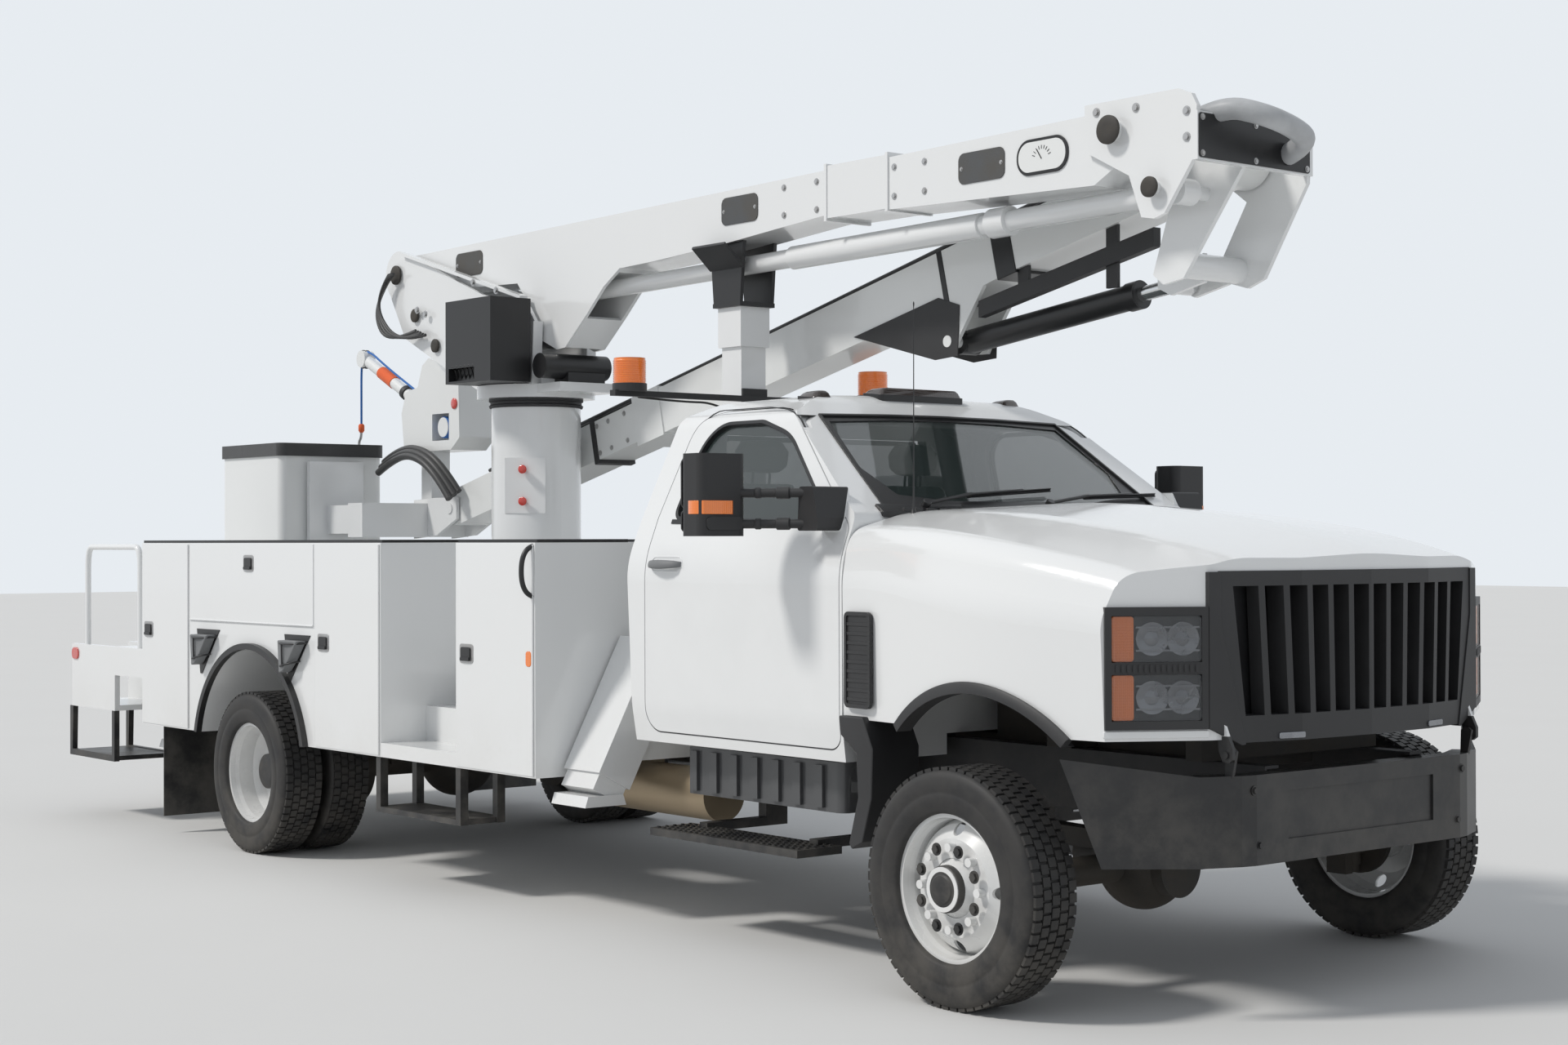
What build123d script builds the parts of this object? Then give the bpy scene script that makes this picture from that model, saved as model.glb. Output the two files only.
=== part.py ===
from build123d import *
from math import acos, cos, pi, radians, sin, tan
import os

# Cherry picker truck: a bonneted 4x4 truck with a steel service body and an articulated aerial
# lift, stowed on its boom rest. Millimetres. Stations are counted from the front axle, +X forward,
# +Y to the truck's left, +Z up from the road. Every node is moved to the middle of the overall
# length when it is written, so the row's origin is the bottom centre of the whole truck.

# Overall stations
WHEELBASE = 5103
BUMPER_FRONT = 770
TAIL_STEP_REAR = -WHEELBASE - 2327
GRILLE_FRONT = 808
MID_X = (GRILLE_FRONT + TAIL_STEP_REAR) / 2
FIT = 0.5                      # gap between a pin and its bush
SEAM = 5                       # gap round a panel that opens

# Wheels and axles
TYRE_R = 405.5
TYRE_W = 226
RIM_R = 262
BEAD_R = 247
TRACK_HALF = 1115              # middle of an outer tyre from the centreline
TWIN_PITCH = 260               # between the two tyres of a twin wheel
AXLE_Z = TYRE_R
KINGPIN_Y = 950
SPINDLE_R = 45
STEER_BOSS_H = 110             # half height of the knuckle's boss
STEER_BOSS_R = 40
DRUM_R = 190
DIFF_Y = -250                  # the front differential sits right of the middle

# Frame
RAIL_OUT = 432
RAIL_W = 70
RAIL_TOP = 815
RAIL_H = 215
RAIL_WEB = 10
FRAME_FRONT = 700
FRAME_REAR = -WHEELBASE - 2197
SEAT_GAP = 0.3                 # between two pieces that rest on each other

# Cab
CAB_REAR = -2110
CAB_FRONT = -780
CAB_FLOOR = 755
CAB_WALL = 45
TUNNEL_HALF = 480              # the cab's floor is raised over the frame between these widths
TUNNEL_TOP = 835
DOOR_FRONT = -797
DOOR_REAR = -2000
DOOR_LOW = 800
DOOR_WALL = 45

# Hood
HOOD_REAR = -773
HOOD_FRONT = GRILLE_FRONT - 8
HOOD_LOW = 918
HOOD_WALL = 22
ARCH_R = 625
ARCH_X = -30
ARCH_Z = 440
HOOD_PIVOT = (740, 870)

# Bumper
BUMPER_LOW = 505
BUMPER_TOP = 800
BUMPER_END_TOP = 860
BUMPER_HALF = 1110
BUMPER_PLATE = 12

# Service body
BODY_FRONT = -2510
BODY_REAR = -WHEELBASE - 1307
BODY_HALF = 1200
PACK_DEPTH = 480
PACK_LOW = 575
PACK_TOP = 1560
PACK_SKIN = 20
REAR_DOOR_LINE = -WHEELBASE - 712
TOP_DOOR_LOW = 1150
MID_BAY_REAR = -WHEELBASE + 668
NOTCH_REAR = -3800
NOTCH_FRONT = -3140
NOTCH_STEP = 640
FLARE_R = 585
BED_TOP = 960
BED_SKIN = 30
DOOR_SHEET = 25
DOOR_PROUD = 4
TAIL_DECK_Z = 980
TAIL_REAR = -WHEELBASE - 2297

# Aerial lift
PEDESTAL_X = -4330
PEDESTAL_R = 227.5
RING_R = 300
RING_LOW = 2285
RING_TOP = 2350
BOOM_HALF = 120                # half width of the lower boom
BOOM_PLATE = 20                # pin plates of the turret and elbow
UPPER_IN = 255                 # near face of the upper boom
UPPER_OUT = 475
UPPER_DEPTH = 226
PIN_R = 40

# Pivots of the lift, seen from the side, as (x, z)
BOOM_PIVOT = (-5430, 3010)
BOOM_TIP = (-220, 3080)
LINK_OFFSET = (200, -235)      # the levelling link's pins lie this far from the boom's pins
LIFT_BASE = (-5020, 2600)
LIFT_EYE = (-4020, 2600)
UPPER_PIVOT = (-110, 3030)
UPPER_TIP = (-5560, 1750)
RAM_BASE = (-1540, 2410)
RAM_EYE = (-345, 2560)
LINK_REAR = (BOOM_PIVOT[0] + LINK_OFFSET[0], BOOM_PIVOT[1] + LINK_OFFSET[1])
LINK_FRONT = (BOOM_TIP[0] + LINK_OFFSET[0], BOOM_TIP[1] + LINK_OFFSET[1])

# Bucket
BUCKET_REAR = -6990
BUCKET_FRONT = -6250
BUCKET_RIGHT = -450
BUCKET_LEFT = 200
BUCKET_LOW = 1050
BUCKET_TOP = 2095
BUCKET_WALL = 12

made = []


def save(name, *shapes):
    """Write one node: its solids, moved so that the origin is under the middle of the truck."""
    solids = [solid for shape in shapes for solid in shape.solids()]
    moved = [Pos(-MID_X, 0, 0) * solid for solid in solids]
    node = moved[0] if len(moved) == 1 else Compound(moved)
    export_step(node, "parts/" + name + ".step")
    made.append(name)


def block(x0, x1, y0, y1, z0, z1):
    """A box between two corners."""
    return Pos((x0 + x1) / 2, (y0 + y1) / 2, (z0 + z1) / 2) * Box(abs(x1 - x0), abs(y1 - y0), abs(z1 - z0))


def side_cut(outline, y0, y1, corner=0):
    """A plate whose outline is drawn from the side, as (x, z), between two widths."""
    face = Face(Wire.make_polygon([(x, y0, z) for x, z in outline], close=True))
    if corner:
        face = face.fillet_2d(corner, face.vertices())
    return Solid.extrude(face, Vector(0, y1 - y0, 0))


def front_cut(outline, x0, x1, corner=0):
    """A bar whose outline is drawn from the front, as (y, z), between two stations."""
    face = Face(Wire.make_polygon([(x0, y, z) for y, z in outline], close=True))
    if corner:
        face = face.fillet_2d(corner, face.vertices())
    return Solid.extrude(face, Vector(x1 - x0, 0, 0))


def plan_cut(outline, z0, z1, corner=0):
    """A slab whose outline is drawn from above, as (x, y), between two heights."""
    face = Face(Wire.make_polygon([(x, y, z0) for x, y in outline], close=True))
    if corner:
        face = face.fillet_2d(corner, face.vertices())
    return Solid.extrude(face, Vector(0, 0, z1 - z0))


def rounded(outline):
    """Closed wire through (point, radius) corners in space, with a tangent arc at each rounded corner."""
    corners = [(Vector(*point), radius) for point, radius in outline]
    ends = []
    for k, (corner, radius) in enumerate(corners):
        back = (corners[k - 1][0] - corner).normalized()
        ahead = (corners[(k + 1) % len(corners)][0] - corner).normalized()
        half = acos(max(-1.0, min(1.0, back.dot(ahead)))) / 2
        if not radius or half > pi / 2 - 0.001:
            ends.append((corner, corner, corner))
            continue
        reach = radius / tan(half)
        middle = corner + (back + ahead).normalized() * (radius / sin(half) - radius)
        ends.append((corner + back * reach, middle, corner + ahead * reach))
    edges = []
    for k, (start, middle, end) in enumerate(ends):
        if (end - start).length > 0.01:
            edges.append(Edge.make_three_point_arc(start, middle, end))
        following = ends[(k + 1) % len(ends)][0]
        if (following - end).length > 0.01:
            edges.append(Edge.make_line(end, following))
    return Wire(edges)


def rod(start, end, radius):
    """A round bar between two points."""
    start, end = Vector(*start), Vector(*end)
    return Solid.make_cylinder(radius, (end - start).length, Plane(origin=start, z_dir=end - start))


def cross_rod(at, y0, y1, radius):
    """A round bar across the truck at (x, z)."""
    return rod((at[0], y0, at[1]), (at[0], y1, at[1]), radius)


def fuse(first, *others):
    """Join solids that touch into one."""
    return first.fuse(*others)


def flip(shape):
    """The other side's twin of a piece."""
    return shape.mirror(Plane.XZ)


def ring(profile, x, z):
    """Turn an outline given as (radius, y) about the axle line at (x, z)."""
    points = [(x, y, z + radius) for radius, y in profile]
    face = Face(Wire.make_polygon(points, close=True))
    return Solid.revolve(face, 360, Axis((x, 0, z), (0, 1, 0)))


def along(start, end, share):
    """A point on the line between two side points."""
    return (start[0] + (end[0] - start[0]) * share, start[1] + (end[1] - start[1]) * share)


def beam_outline(start, end, depths):
    """Side outline of a straight beam. depths holds (share of the length, half depth) pairs."""
    run = (end[0] - start[0], end[1] - start[1])
    length = (run[0] ** 2 + run[1] ** 2) ** 0.5
    normal = (-run[1] / length, run[0] / length)
    if normal[1] < 0:
        normal = (-normal[0], -normal[1])
    top, low = [], []
    for share, half in depths:
        x, z = along(start, end, share)
        top.append((x + normal[0] * half, z + normal[1] * half))
        low.append((x - normal[0] * half, z - normal[1] * half))
    return top + low[::-1]


# Tyres and wheels

def tyre(y):
    """One tyre with its middle at width y, as a closed ring on the rim."""
    half = TYRE_W / 2
    bead = RIM_HALF - RIM_LIP - SEAT_GAP
    wall = [(BEAD_R, bead), (RIM_R + 1, bead), (RIM_R + 1, bead + 14), (300, half - 4), (350, half),
            (TYRE_R - 8, half - 16), (TYRE_R, half - 30)]
    shape = wall + [(radius, -offset) for radius, offset in wall[::-1]]
    return [(radius, y + offset) for radius, offset in shape]


RIM_HALF = 86
RIM_LIP = 8


def rim_profile(y, side):
    """Barrel of a rim about the tyre's middle y; side is -1 where the disc's open face points to -Y."""
    seat = BEAD_R - SEAT_GAP
    edge = [(seat, RIM_HALF - RIM_LIP), (RIM_R, RIM_HALF - RIM_LIP), (RIM_R, RIM_HALF), (seat - 11, RIM_HALF)]
    barrel = [(seat - 14, 60), (228, 40), (228, -40), (seat - 14, -60)]
    lip = [(radius, -offset) for radius, offset in edge[::-1]] + edge + barrel
    return [(radius, y + side * offset) for radius, offset in lip]


def disc_profile(stations, thickness):
    """A pressed disc that follows (radius, y) stations."""
    outer = [(radius, y) for radius, y in stations]
    inner = [(radius, y + thickness) for radius, y in stations]
    return outer + inner[::-1]


def bolt_ring(x, z, y0, y1, pitch_r, radius, count):
    """A circle of round bars across the truck."""
    turns = [2 * pi * k / count for k in range(count)]
    return [rod((x + pitch_r * cos(a), y0, z + pitch_r * sin(a)), (x + pitch_r * cos(a), y1, z + pitch_r * sin(a)), radius)
            for a in turns]


STUD_PITCH_R = 137.5
STUD_R = 15
STUDS = 8


def front_wheel():
    """Right front wheel: rim, pressed disc bulging outward, hand holes, hub and stud nuts in one."""
    outer = -TRACK_HALF
    barrel = ring(rim_profile(outer, 1), 0, AXLE_Z)
    disc = ring(disc_profile([(100, outer - 70), (165, outer - 70), (212, outer - 30), (231, outer + 10)], 12), 0, AXLE_Z)
    holes = bolt_ring(0, AXLE_Z, outer - 120, outer + 40, 196, 22, 4)
    for hole in holes:
        disc = disc - hole
    hub = ring([(SPINDLE_R + FIT, outer - 40), (SPINDLE_R + FIT, outer + 90), (105, outer + 90), (105, outer - 58),
                (75, outer - 100), (75, outer - 125), (0.01, outer - 125), (0.01, outer - 40)], 0, AXLE_Z)
    nuts = bolt_ring(0, AXLE_Z, outer - 100, outer - 60, STUD_PITCH_R, STUD_R, STUDS)
    return fuse(barrel, disc, hub, *nuts)


def rear_wheels():
    """Right rear twin wheel: two rims back to back on one hub."""
    outer, inner = -TRACK_HALF, -TRACK_HALF + TWIN_PITCH
    middle = (outer + inner) / 2
    rims = [ring(rim_profile(y, 1), -WHEELBASE, AXLE_Z) for y in (outer, inner)]
    dish = ring(disc_profile([(100, middle - 12), (170, middle - 12), (205, outer + 85), (231, outer + 30)], 12),
                -WHEELBASE, AXLE_Z)
    back = ring([(100, middle), (170, middle), (205, inner - 85), (231, inner - 30), (231, inner - 18),
                 (200, inner - 70), (168, middle + 12), (100, middle + 12)], -WHEELBASE, AXLE_Z)
    for hole in bolt_ring(-WHEELBASE, AXLE_Z, outer, inner, 190, 20, 4):
        dish, back = dish - hole, back - hole
    hub = ring([(SPINDLE_R + FIT, outer + 10), (SPINDLE_R + FIT, inner + 60), (105, inner + 60), (105, outer + 60),
                (85, outer + 20), (85, outer), (0.01, outer), (0.01, outer + 10)], -WHEELBASE, AXLE_Z)
    nuts = bolt_ring(-WHEELBASE, AXLE_Z, middle - 40, middle - 10, STUD_PITCH_R, STUD_R, STUDS)
    return fuse(rims[0], rims[1], dish, back, hub, *nuts)


def save_wheels():
    front_tyre = ring(tyre(-TRACK_HALF), 0, AXLE_Z)
    rear_tyres = [ring(tyre(-TRACK_HALF + step), -WHEELBASE, AXLE_Z) for step in (0, TWIN_PITCH)]
    for side, turn in (("right", lambda s: s), ("left", flip)):
        save("front_tyre_" + side, turn(front_tyre))
        save("front_wheel_" + side, turn(front_wheel()))
        save("rear_tyres_" + side, *[turn(solid) for solid in rear_tyres])
        save("rear_wheels_" + side, turn(rear_wheels()))


# Axles, knuckles and springs

SPRING_Y = 400
SPRING_W = 76
LEAF = 14
LEAVES = 5
SPRING_HALF = 640
SPRING_RISE = 28
SPRING_SEAT = 6


def leaf_spring(x, seat_z):
    """A pack of curved leaves over an axle, shorter towards the bottom, as one solid."""
    def top(reach):
        return seat_z + LEAF * LEAVES + SPRING_RISE * (reach / SPRING_HALF) ** 2
    arch = [(reach, top(reach)) for reach in (0, SPRING_HALF * 0.35, SPRING_HALF * 0.7, SPRING_HALF)]
    stairs = []
    for k in range(LEAVES):
        reach = SPRING_HALF * (1 - 0.17 * k)
        stairs += [(reach, top(reach) - LEAF * k - (0 if k else LEAF / 2)), (reach, top(reach) - LEAF * (k + 1))]
    half_line = arch + stairs
    outline = [(x + reach, z) for reach, z in half_line] + [(x - reach, z) for reach, z in half_line[:0:-1]]
    leaves = side_cut(outline, SPRING_Y - SPRING_W / 2, SPRING_Y + SPRING_W / 2)
    eyes = []
    for end in (-1, 1):
        at = (x + end * (SPRING_HALF + 12), seat_z + LEAF * LEAVES + SPRING_RISE - LEAF / 2)
        eyes.append(cross_rod(at, SPRING_Y - SPRING_W / 2, SPRING_Y + SPRING_W / 2, 26))
        under = RAIL_TOP - RAIL_H - SEAT_GAP
        hanger = [(at[0] - 30, at[1] - 20), (at[0] + 30, at[1] - 20), (at[0] + 42, under), (at[0] - 42, under)]
        eyes.append(side_cut(hanger, SPRING_Y - 25, SPRING_Y + 25))
    return fuse(leaves, *eyes)


def front_axle():
    """Steered drive axle: tubes, offset differential, yokes for the kingpins, springs on pads."""
    inner = KINGPIN_Y - STEER_BOSS_R - SEAM
    tube = cross_rod((0, AXLE_Z), -inner, inner, 52)
    bowl = Pos(0, DIFF_Y, AXLE_Z) * Sphere(165)
    nose = rod((-60, DIFF_Y, AXLE_Z), (-290, DIFF_Y, AXLE_Z + 20), 62)
    cover = rod((60, DIFF_Y, AXLE_Z), (178, DIFF_Y, AXLE_Z), 105)
    parts = [bowl.solid(), nose, cover]
    for side in (-1, 1):
        arm = block(-45, 45, side * (inner - 45), side * inner, AXLE_Z - STEER_BOSS_H - 30, AXLE_Z + STEER_BOSS_H + 30)
        parts.append(arm)
        for end in (-1, 1):
            low = AXLE_Z + end * (STEER_BOSS_H + FIT)
            high = AXLE_Z + end * (STEER_BOSS_H + 30)
            parts.append(rod((0, side * KINGPIN_Y, low), (0, side * KINGPIN_Y, high), STEER_BOSS_R - 6))
            parts.append(block(-28, 28, side * (inner - 10), side * KINGPIN_Y, low, high))
        seat = AXLE_Z + 52 + SPRING_SEAT
        parts.append(block(-70, 70, side * (SPRING_Y - 45), side * (SPRING_Y + 45), AXLE_Z, seat + 1))
        spring = leaf_spring(0, seat)
        parts.append(spring if side > 0 else flip(spring))
    return fuse(tube, *parts)


def rear_axle():
    """Driven rear axle with a banjo housing, brake drums' backing plates and springs."""
    inner = TRACK_HALF - TWIN_PITCH - TYRE_W / 2
    tube = cross_rod((-WHEELBASE, AXLE_Z), -inner, inner, 65)
    bowl = Pos(-WHEELBASE, 0, AXLE_Z) * Sphere(200)
    nose = rod((-WHEELBASE + 80, 0, AXLE_Z), (-WHEELBASE + 360, 0, AXLE_Z + 20), 75)
    parts = [bowl.solid(), nose]
    for side in (-1, 1):
        parts.append(cross_rod((-WHEELBASE, AXLE_Z), side * 600, side * (inner - 10), DRUM_R))
        parts.append(cross_rod((-WHEELBASE, AXLE_Z), side * inner * 0.9, side * (TRACK_HALF - 20), SPINDLE_R))
        seat = AXLE_Z + 65 + SPRING_SEAT
        parts.append(block(-WHEELBASE - 80, -WHEELBASE + 80, side * (SPRING_Y - 45), side * (SPRING_Y + 45), AXLE_Z, seat + 1))
        spring = leaf_spring(-WHEELBASE, seat)
        parts.append(spring if side > 0 else flip(spring))
    return fuse(tube, *parts)


def knuckle():
    """Right steering knuckle: boss on the kingpin, brake flange and the spindle."""
    boss = rod((0, -KINGPIN_Y, AXLE_Z - STEER_BOSS_H), (0, -KINGPIN_Y, AXLE_Z + STEER_BOSS_H), STEER_BOSS_R)
    spindle = cross_rod((0, AXLE_Z), -(TRACK_HALF + 38), -KINGPIN_Y, SPINDLE_R)
    flange = cross_rod((0, AXLE_Z), -(KINGPIN_Y + STEER_BOSS_R + 24), -(KINGPIN_Y + STEER_BOSS_R + 2), 150)
    neck = cross_rod((0, AXLE_Z), -(KINGPIN_Y + STEER_BOSS_R + 5), -(KINGPIN_Y + 12), 75)
    return fuse(boss, spindle, flange, neck)


# Frame, engine, tanks

def frame():
    """Two channel rails with cross members and spring hangers' pads."""
    inner = RAIL_OUT - RAIL_W
    low = RAIL_TOP - RAIL_H
    section = [(RAIL_OUT, low), (RAIL_OUT, RAIL_TOP), (inner, RAIL_TOP), (inner, RAIL_TOP - RAIL_WEB),
               (RAIL_OUT - RAIL_WEB, RAIL_TOP - RAIL_WEB), (RAIL_OUT - RAIL_WEB, low + RAIL_WEB), (inner, low + RAIL_WEB), (inner, low)]
    left = front_cut(section, FRAME_REAR, FRAME_FRONT)
    members = []
    for x in (FRAME_FRONT - 60, -2400, -3300, -4500, -5700, FRAME_REAR + 220):
        web = RAIL_OUT - RAIL_WEB
        members.append(block(x - 30, x + 30, -web - 1, web + 1, low + 60, RAIL_TOP - 50))
    hitch = block(FRAME_REAR - HITCH_PLATE, FRAME_REAR, -RAIL_OUT, RAIL_OUT, low, RAIL_TOP)
    for side in (-1, 1):
        for end in (-1, 1):
            at = (side * HITCH_PITCH_Y / 2, HITCH_Z + end * HITCH_PITCH_Z / 2)
            hitch = hitch - rod((FRAME_REAR - 30, *at), (FRAME_REAR + 10, *at), HITCH_HOLE_R)
    for x in CAB_MOUNTS:
        for side in (-1, 1):
            members.append(block(x - 45, x + 45, side * (RAIL_OUT - RAIL_W), side * RAIL_OUT, RAIL_TOP - 1, TUNNEL_TOP - SEAT_GAP))
    return fuse(left, flip(left), hitch, *members)


CAB_MOUNTS = (-900, -1980)


HITCH_PLATE = 18               # end plate of the frame, drilled for a towing hitch
HITCH_Z = 705
HITCH_PITCH_Y = 160
HITCH_PITCH_Z = 90
HITCH_HOLE_R = 9


def engine():
    """Engine, gearbox and transfer case as plain blocks in a line."""
    motor = block(-700, 330, -290, 290, 760, 1330)
    box = block(-1500, -700, -210, 210, 560, TUNNEL_TOP - 15)
    transfer = block(TRANSFER_REAR, TRANSFER_FRONT, DIFF_Y - 60, 200, 480, 740)
    radiator = block(400, 470, -480, 480, RAIL_TOP + SEAT_GAP, 1370)
    mount = block(330, 400, -200, 200, RAIL_TOP + 5, 1000)
    feet = [block(-300, -180, side * 280, side * RAIL_OUT, RAIL_TOP + SEAT_GAP, RAIL_TOP + 40) for side in (-1, 1)]
    return fuse(motor, box, transfer, mount, radiator, *feet)


def driveline():
    """Propeller shafts from the transfer case to both axles."""
    rear = rod((TRANSFER_REAR - 3.2, 0, 600), (-WHEELBASE + 361, 0, AXLE_Z + 20), 45)
    front = rod((TRANSFER_FRONT + 3.5, DIFF_Y, 545), (-291, DIFF_Y, AXLE_Z + 20), 32)
    return [rear, front]


TRANSFER_REAR = -1850
TRANSFER_FRONT = -1500
EXHAUST_R = 108
EXHAUST_Y = -608
EXHAUST_Z = 505


def tanks():
    """Ribbed tank guard under the cab and the exhaust can behind it, each on its own hangers."""
    tank_back = -575
    guard = plan_cut([(-1905, -870), (-1905, tank_back), (-930, tank_back), (-930, -870)], 545, 735, 40)
    ribs = [block(x, x + 45, -884, -860, 560, 720) for x in range(-1860, -960, 130)]
    straps = [block(x, x + 50, tank_back - 5, -RAIL_OUT - SEAT_GAP, 620, 700) for x in (-1750, -1250)]
    can = rod((-2760, EXHAUST_Y, EXHAUST_Z), (-1990, EXHAUST_Y, EXHAUST_Z), EXHAUST_R)
    hangers = [block(x, x + 30, EXHAUST_Y + 60, -RAIL_OUT - SEAT_GAP, EXHAUST_Z + 60, 680) for x in (-2650, -2100)]
    return [fuse(guard, *ribs, *straps), fuse(can, *hangers)]


# Cab

# Corners as (x, z, radius) from the side, and as (y, z, radius) for the right half from the front
CAB_SIDE = [(-2085, CAB_FLOOR, 0), (CAB_REAR - 15, 1440, 900), (CAB_REAR - 5, 1650, 500), (-2050, 2150, 110),
            (-1800, 2170, 900), (-1450, 2158, 260), (CAB_FRONT - 12, 1668, 30), (CAB_FRONT, 1640, 30), (CAB_FRONT, CAB_FLOOR, 0)]
CAB_SECTION = [(985, CAB_FLOOR, 0), (1003, 900, 500), (1004, 1480, 420), (775, 2066, 95), (560, 2146, 500), (0, 2168, 1200)]
WINDSHIELD = [(-815, 765, 1682), (-1325, 655, 2057)]      # low and top corners, (x, y, z)


def closed_section(half):
    """Mirror a half outline of (y, z, radius) corners given from the outside to the middle."""
    return half + [(-y, z, radius) for y, z, radius in half[::-1] if y > 0]


def cab_tube(wall):
    """The cab's cross-section run along its whole length, moved in by a wall."""
    front = rounded([((-2500, y, z), radius) for y, z, radius in closed_section(CAB_SECTION)])
    if wall:
        front = front.offset_2d(-wall, Kind.INTERSECTION)
    return Solid.extrude(Face(front), Vector(2500, 0, 0))


def cab_solid(wall):
    """The cab's outer form, or with a wall its inside."""
    side = rounded([((x, -1300, z), radius) for x, z, radius in CAB_SIDE])
    if wall:
        side = side.offset_2d(-wall, Kind.INTERSECTION)
    body = Solid.extrude(Face(side), Vector(0, 2600, 0)) & cab_tube(wall)
    width = TUNNEL_HALF + wall
    return body - block(-2500, 0, -width, width, 500, TUNNEL_TOP + wall)


DOOR_SKIN = 18                 # outer sheet, whose edge runs past the inner panel so that it swings clear
DOOR_BEVEL = 14
# Corners as (x, z, radius)
DOOR_OUTLINE = [(DOOR_FRONT, DOOR_LOW, 60), (DOOR_FRONT, 1615, 60), (-1330, 2072, 260), (-1500, 2092, 200), (-1930, 2092, 150),
                (DOOR_REAR, 1660, 60), (DOOR_REAR, DOOR_LOW, 90)]
WINDOW_OUTLINE = [(-890, 1620, 28), (-1300, 1985, 300), (-1500, 2045, 150), (-1850, 2045, 165), (-1905, 1650, 45)]


def door_blank(grow, y0, y1):
    """A prism over the door's outline, grown all round by a gap."""
    outline = rounded([((x, y0, z), radius) for x, z, radius in DOOR_OUTLINE])
    if grow:
        outline = outline.offset_2d(grow, Kind.INTERSECTION)
    return Solid.extrude(Face(outline), Vector(0, y1 - y0, 0))


def window_blank(y0, y1):
    outline = rounded([((x, y0, z), radius) for x, z, radius in WINDOW_OUTLINE])
    return Solid.extrude(Face(outline), Vector(0, y1 - y0, 0))


def windshield_blank():
    """The opening for the windshield, cut square to the glass."""
    low, top = WINDSHIELD
    lean = Vector(top[2] - low[2], 0, low[0] - top[0]).normalized()
    corners = [Vector(*low), Vector(low[0], -low[1], low[2]), Vector(top[0], -top[1], top[2]), Vector(*top)]
    face = Face(Wire.make_polygon([corner + lean * 60 for corner in corners], close=True))
    return Solid.extrude(face, lean * -150)


def cab():
    """Hollow cab shell with its windows and door openings cut, and both doors."""
    outer, hollow = cab_solid(0), cab_solid(CAB_WALL)
    shell = outer - hollow
    shell = shell - windshield_blank() - block(-2300, -2020, -560, 560, 1690, 2010)
    core = cab_tube(CAB_WALL + 1)
    for side in (-1, 1):
        shell = shell - (door_blank(SEAM, side * 560, side * 1200) - core)
    sheet = (outer - cab_tube(DOOR_SKIN)) & door_blank(0, -560, -1200)
    inner = (cab_tube(DOOR_SKIN - 1) - cab_tube(DOOR_WALL)) & door_blank(-DOOR_BEVEL, -560, -1200)
    door = fuse(sheet, inner) - window_blank(-560, -1200)
    return shell, door


MIRROR_Z = (1583, 1888)


def mirror_arm():
    """Right towing mirror: a tall head on two arms that reach out and back from the door's front corner."""
    head = plan_cut([(-1236, -1400), (-1225, -1192), (-1095, -1192), (-1106, -1400)], *MIRROR_Z, 32)
    arms = [rod((-900, -1040, z), (-1130, -1230, z), 17) for z in (1628, 1742)]
    foot = side_cut([(-835, 1602), (-835, 1650), (-862, 1765), (-940, 1765), (-950, 1602)], -1072, -900, 12)
    return fuse(head, foot, *arms) - cab_solid(-SEAT_GAP)


def cab_interior():
    """Two seats, the dash, the steering column and wheel."""
    solids = []
    for y in (-430, 430):
        cushion = block(-1850, -1330, y - 250, y + 250, 1130, 1270)
        back = side_cut([(-1900, 1240), (-2010, 1830), (-1900, 1850), (-1760, 1270)], y - 250, y + 250)
        rest = side_cut([(-2000, 1850), (-2010, 2000), (-1900, 2010), (-1900, 1850)], y - 130, y + 130)
        base = block(-1800, -1400, y - 180, y + 180, TUNNEL_TOP + CAB_WALL + SEAT_GAP, 1131)
        solids.append(fuse(cushion, back, rest, base))
    wall = CAB_FRONT - CAB_WALL - SEAT_GAP
    dash = side_cut([(wall, 1255), (wall, 1570), (-900, 1600), (-1130, 1560), (-1180, 1440), (-1080, 1255)], -900, 900)
    column = rod((-1100, 430, 1420), (-1290, 430, 1540), 28)
    wheel_axis = Plane(origin=(-1290, 430, 1540), z_dir=(-190, 0, 120))
    rim = Solid.make_torus(205, 16, wheel_axis)
    spokes = block(-1302, -1278, 234, 626, 1530, 1550)
    return [*solids, fuse(dash, column, rim, spokes)]


# Hood

# Half sections of the hood from the outside to the middle, as (y, z, radius), at each station x
HOOD_SECTIONS = {
    HOOD_REAR: [(1000, HOOD_LOW, 0), (1006, 1420, 350), (975, 1600, 120), (700, 1668, 500), (0, 1692, 1500)],
    -350: [(1040, HOOD_LOW, 0), (1052, 1400, 350), (1010, 1590, 120), (700, 1672, 500), (0, 1706, 1500)],
    60: [(1075, HOOD_LOW, 0), (1092, 1350, 330), (1040, 1545, 120), (690, 1635, 500), (0, 1672, 1500)],
    470: [(1030, HOOD_LOW, 0), (1042, 1310, 250), (990, 1475, 110), (650, 1572, 500), (0, 1612, 1500)],
    HOOD_FRONT: [(1000, HOOD_LOW, 0), (1010, 1250, 200), (945, 1395, 120), (610, 1485, 500), (0, 1520, 1500)],
}
HOOD_PLAN = [(HOOD_REAR, 1200, 0), (440, 1200, 0), (505, 1060, 40), (715, 715, 100), (785, 350, 300), (HOOD_FRONT, 0, 900)]


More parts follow.
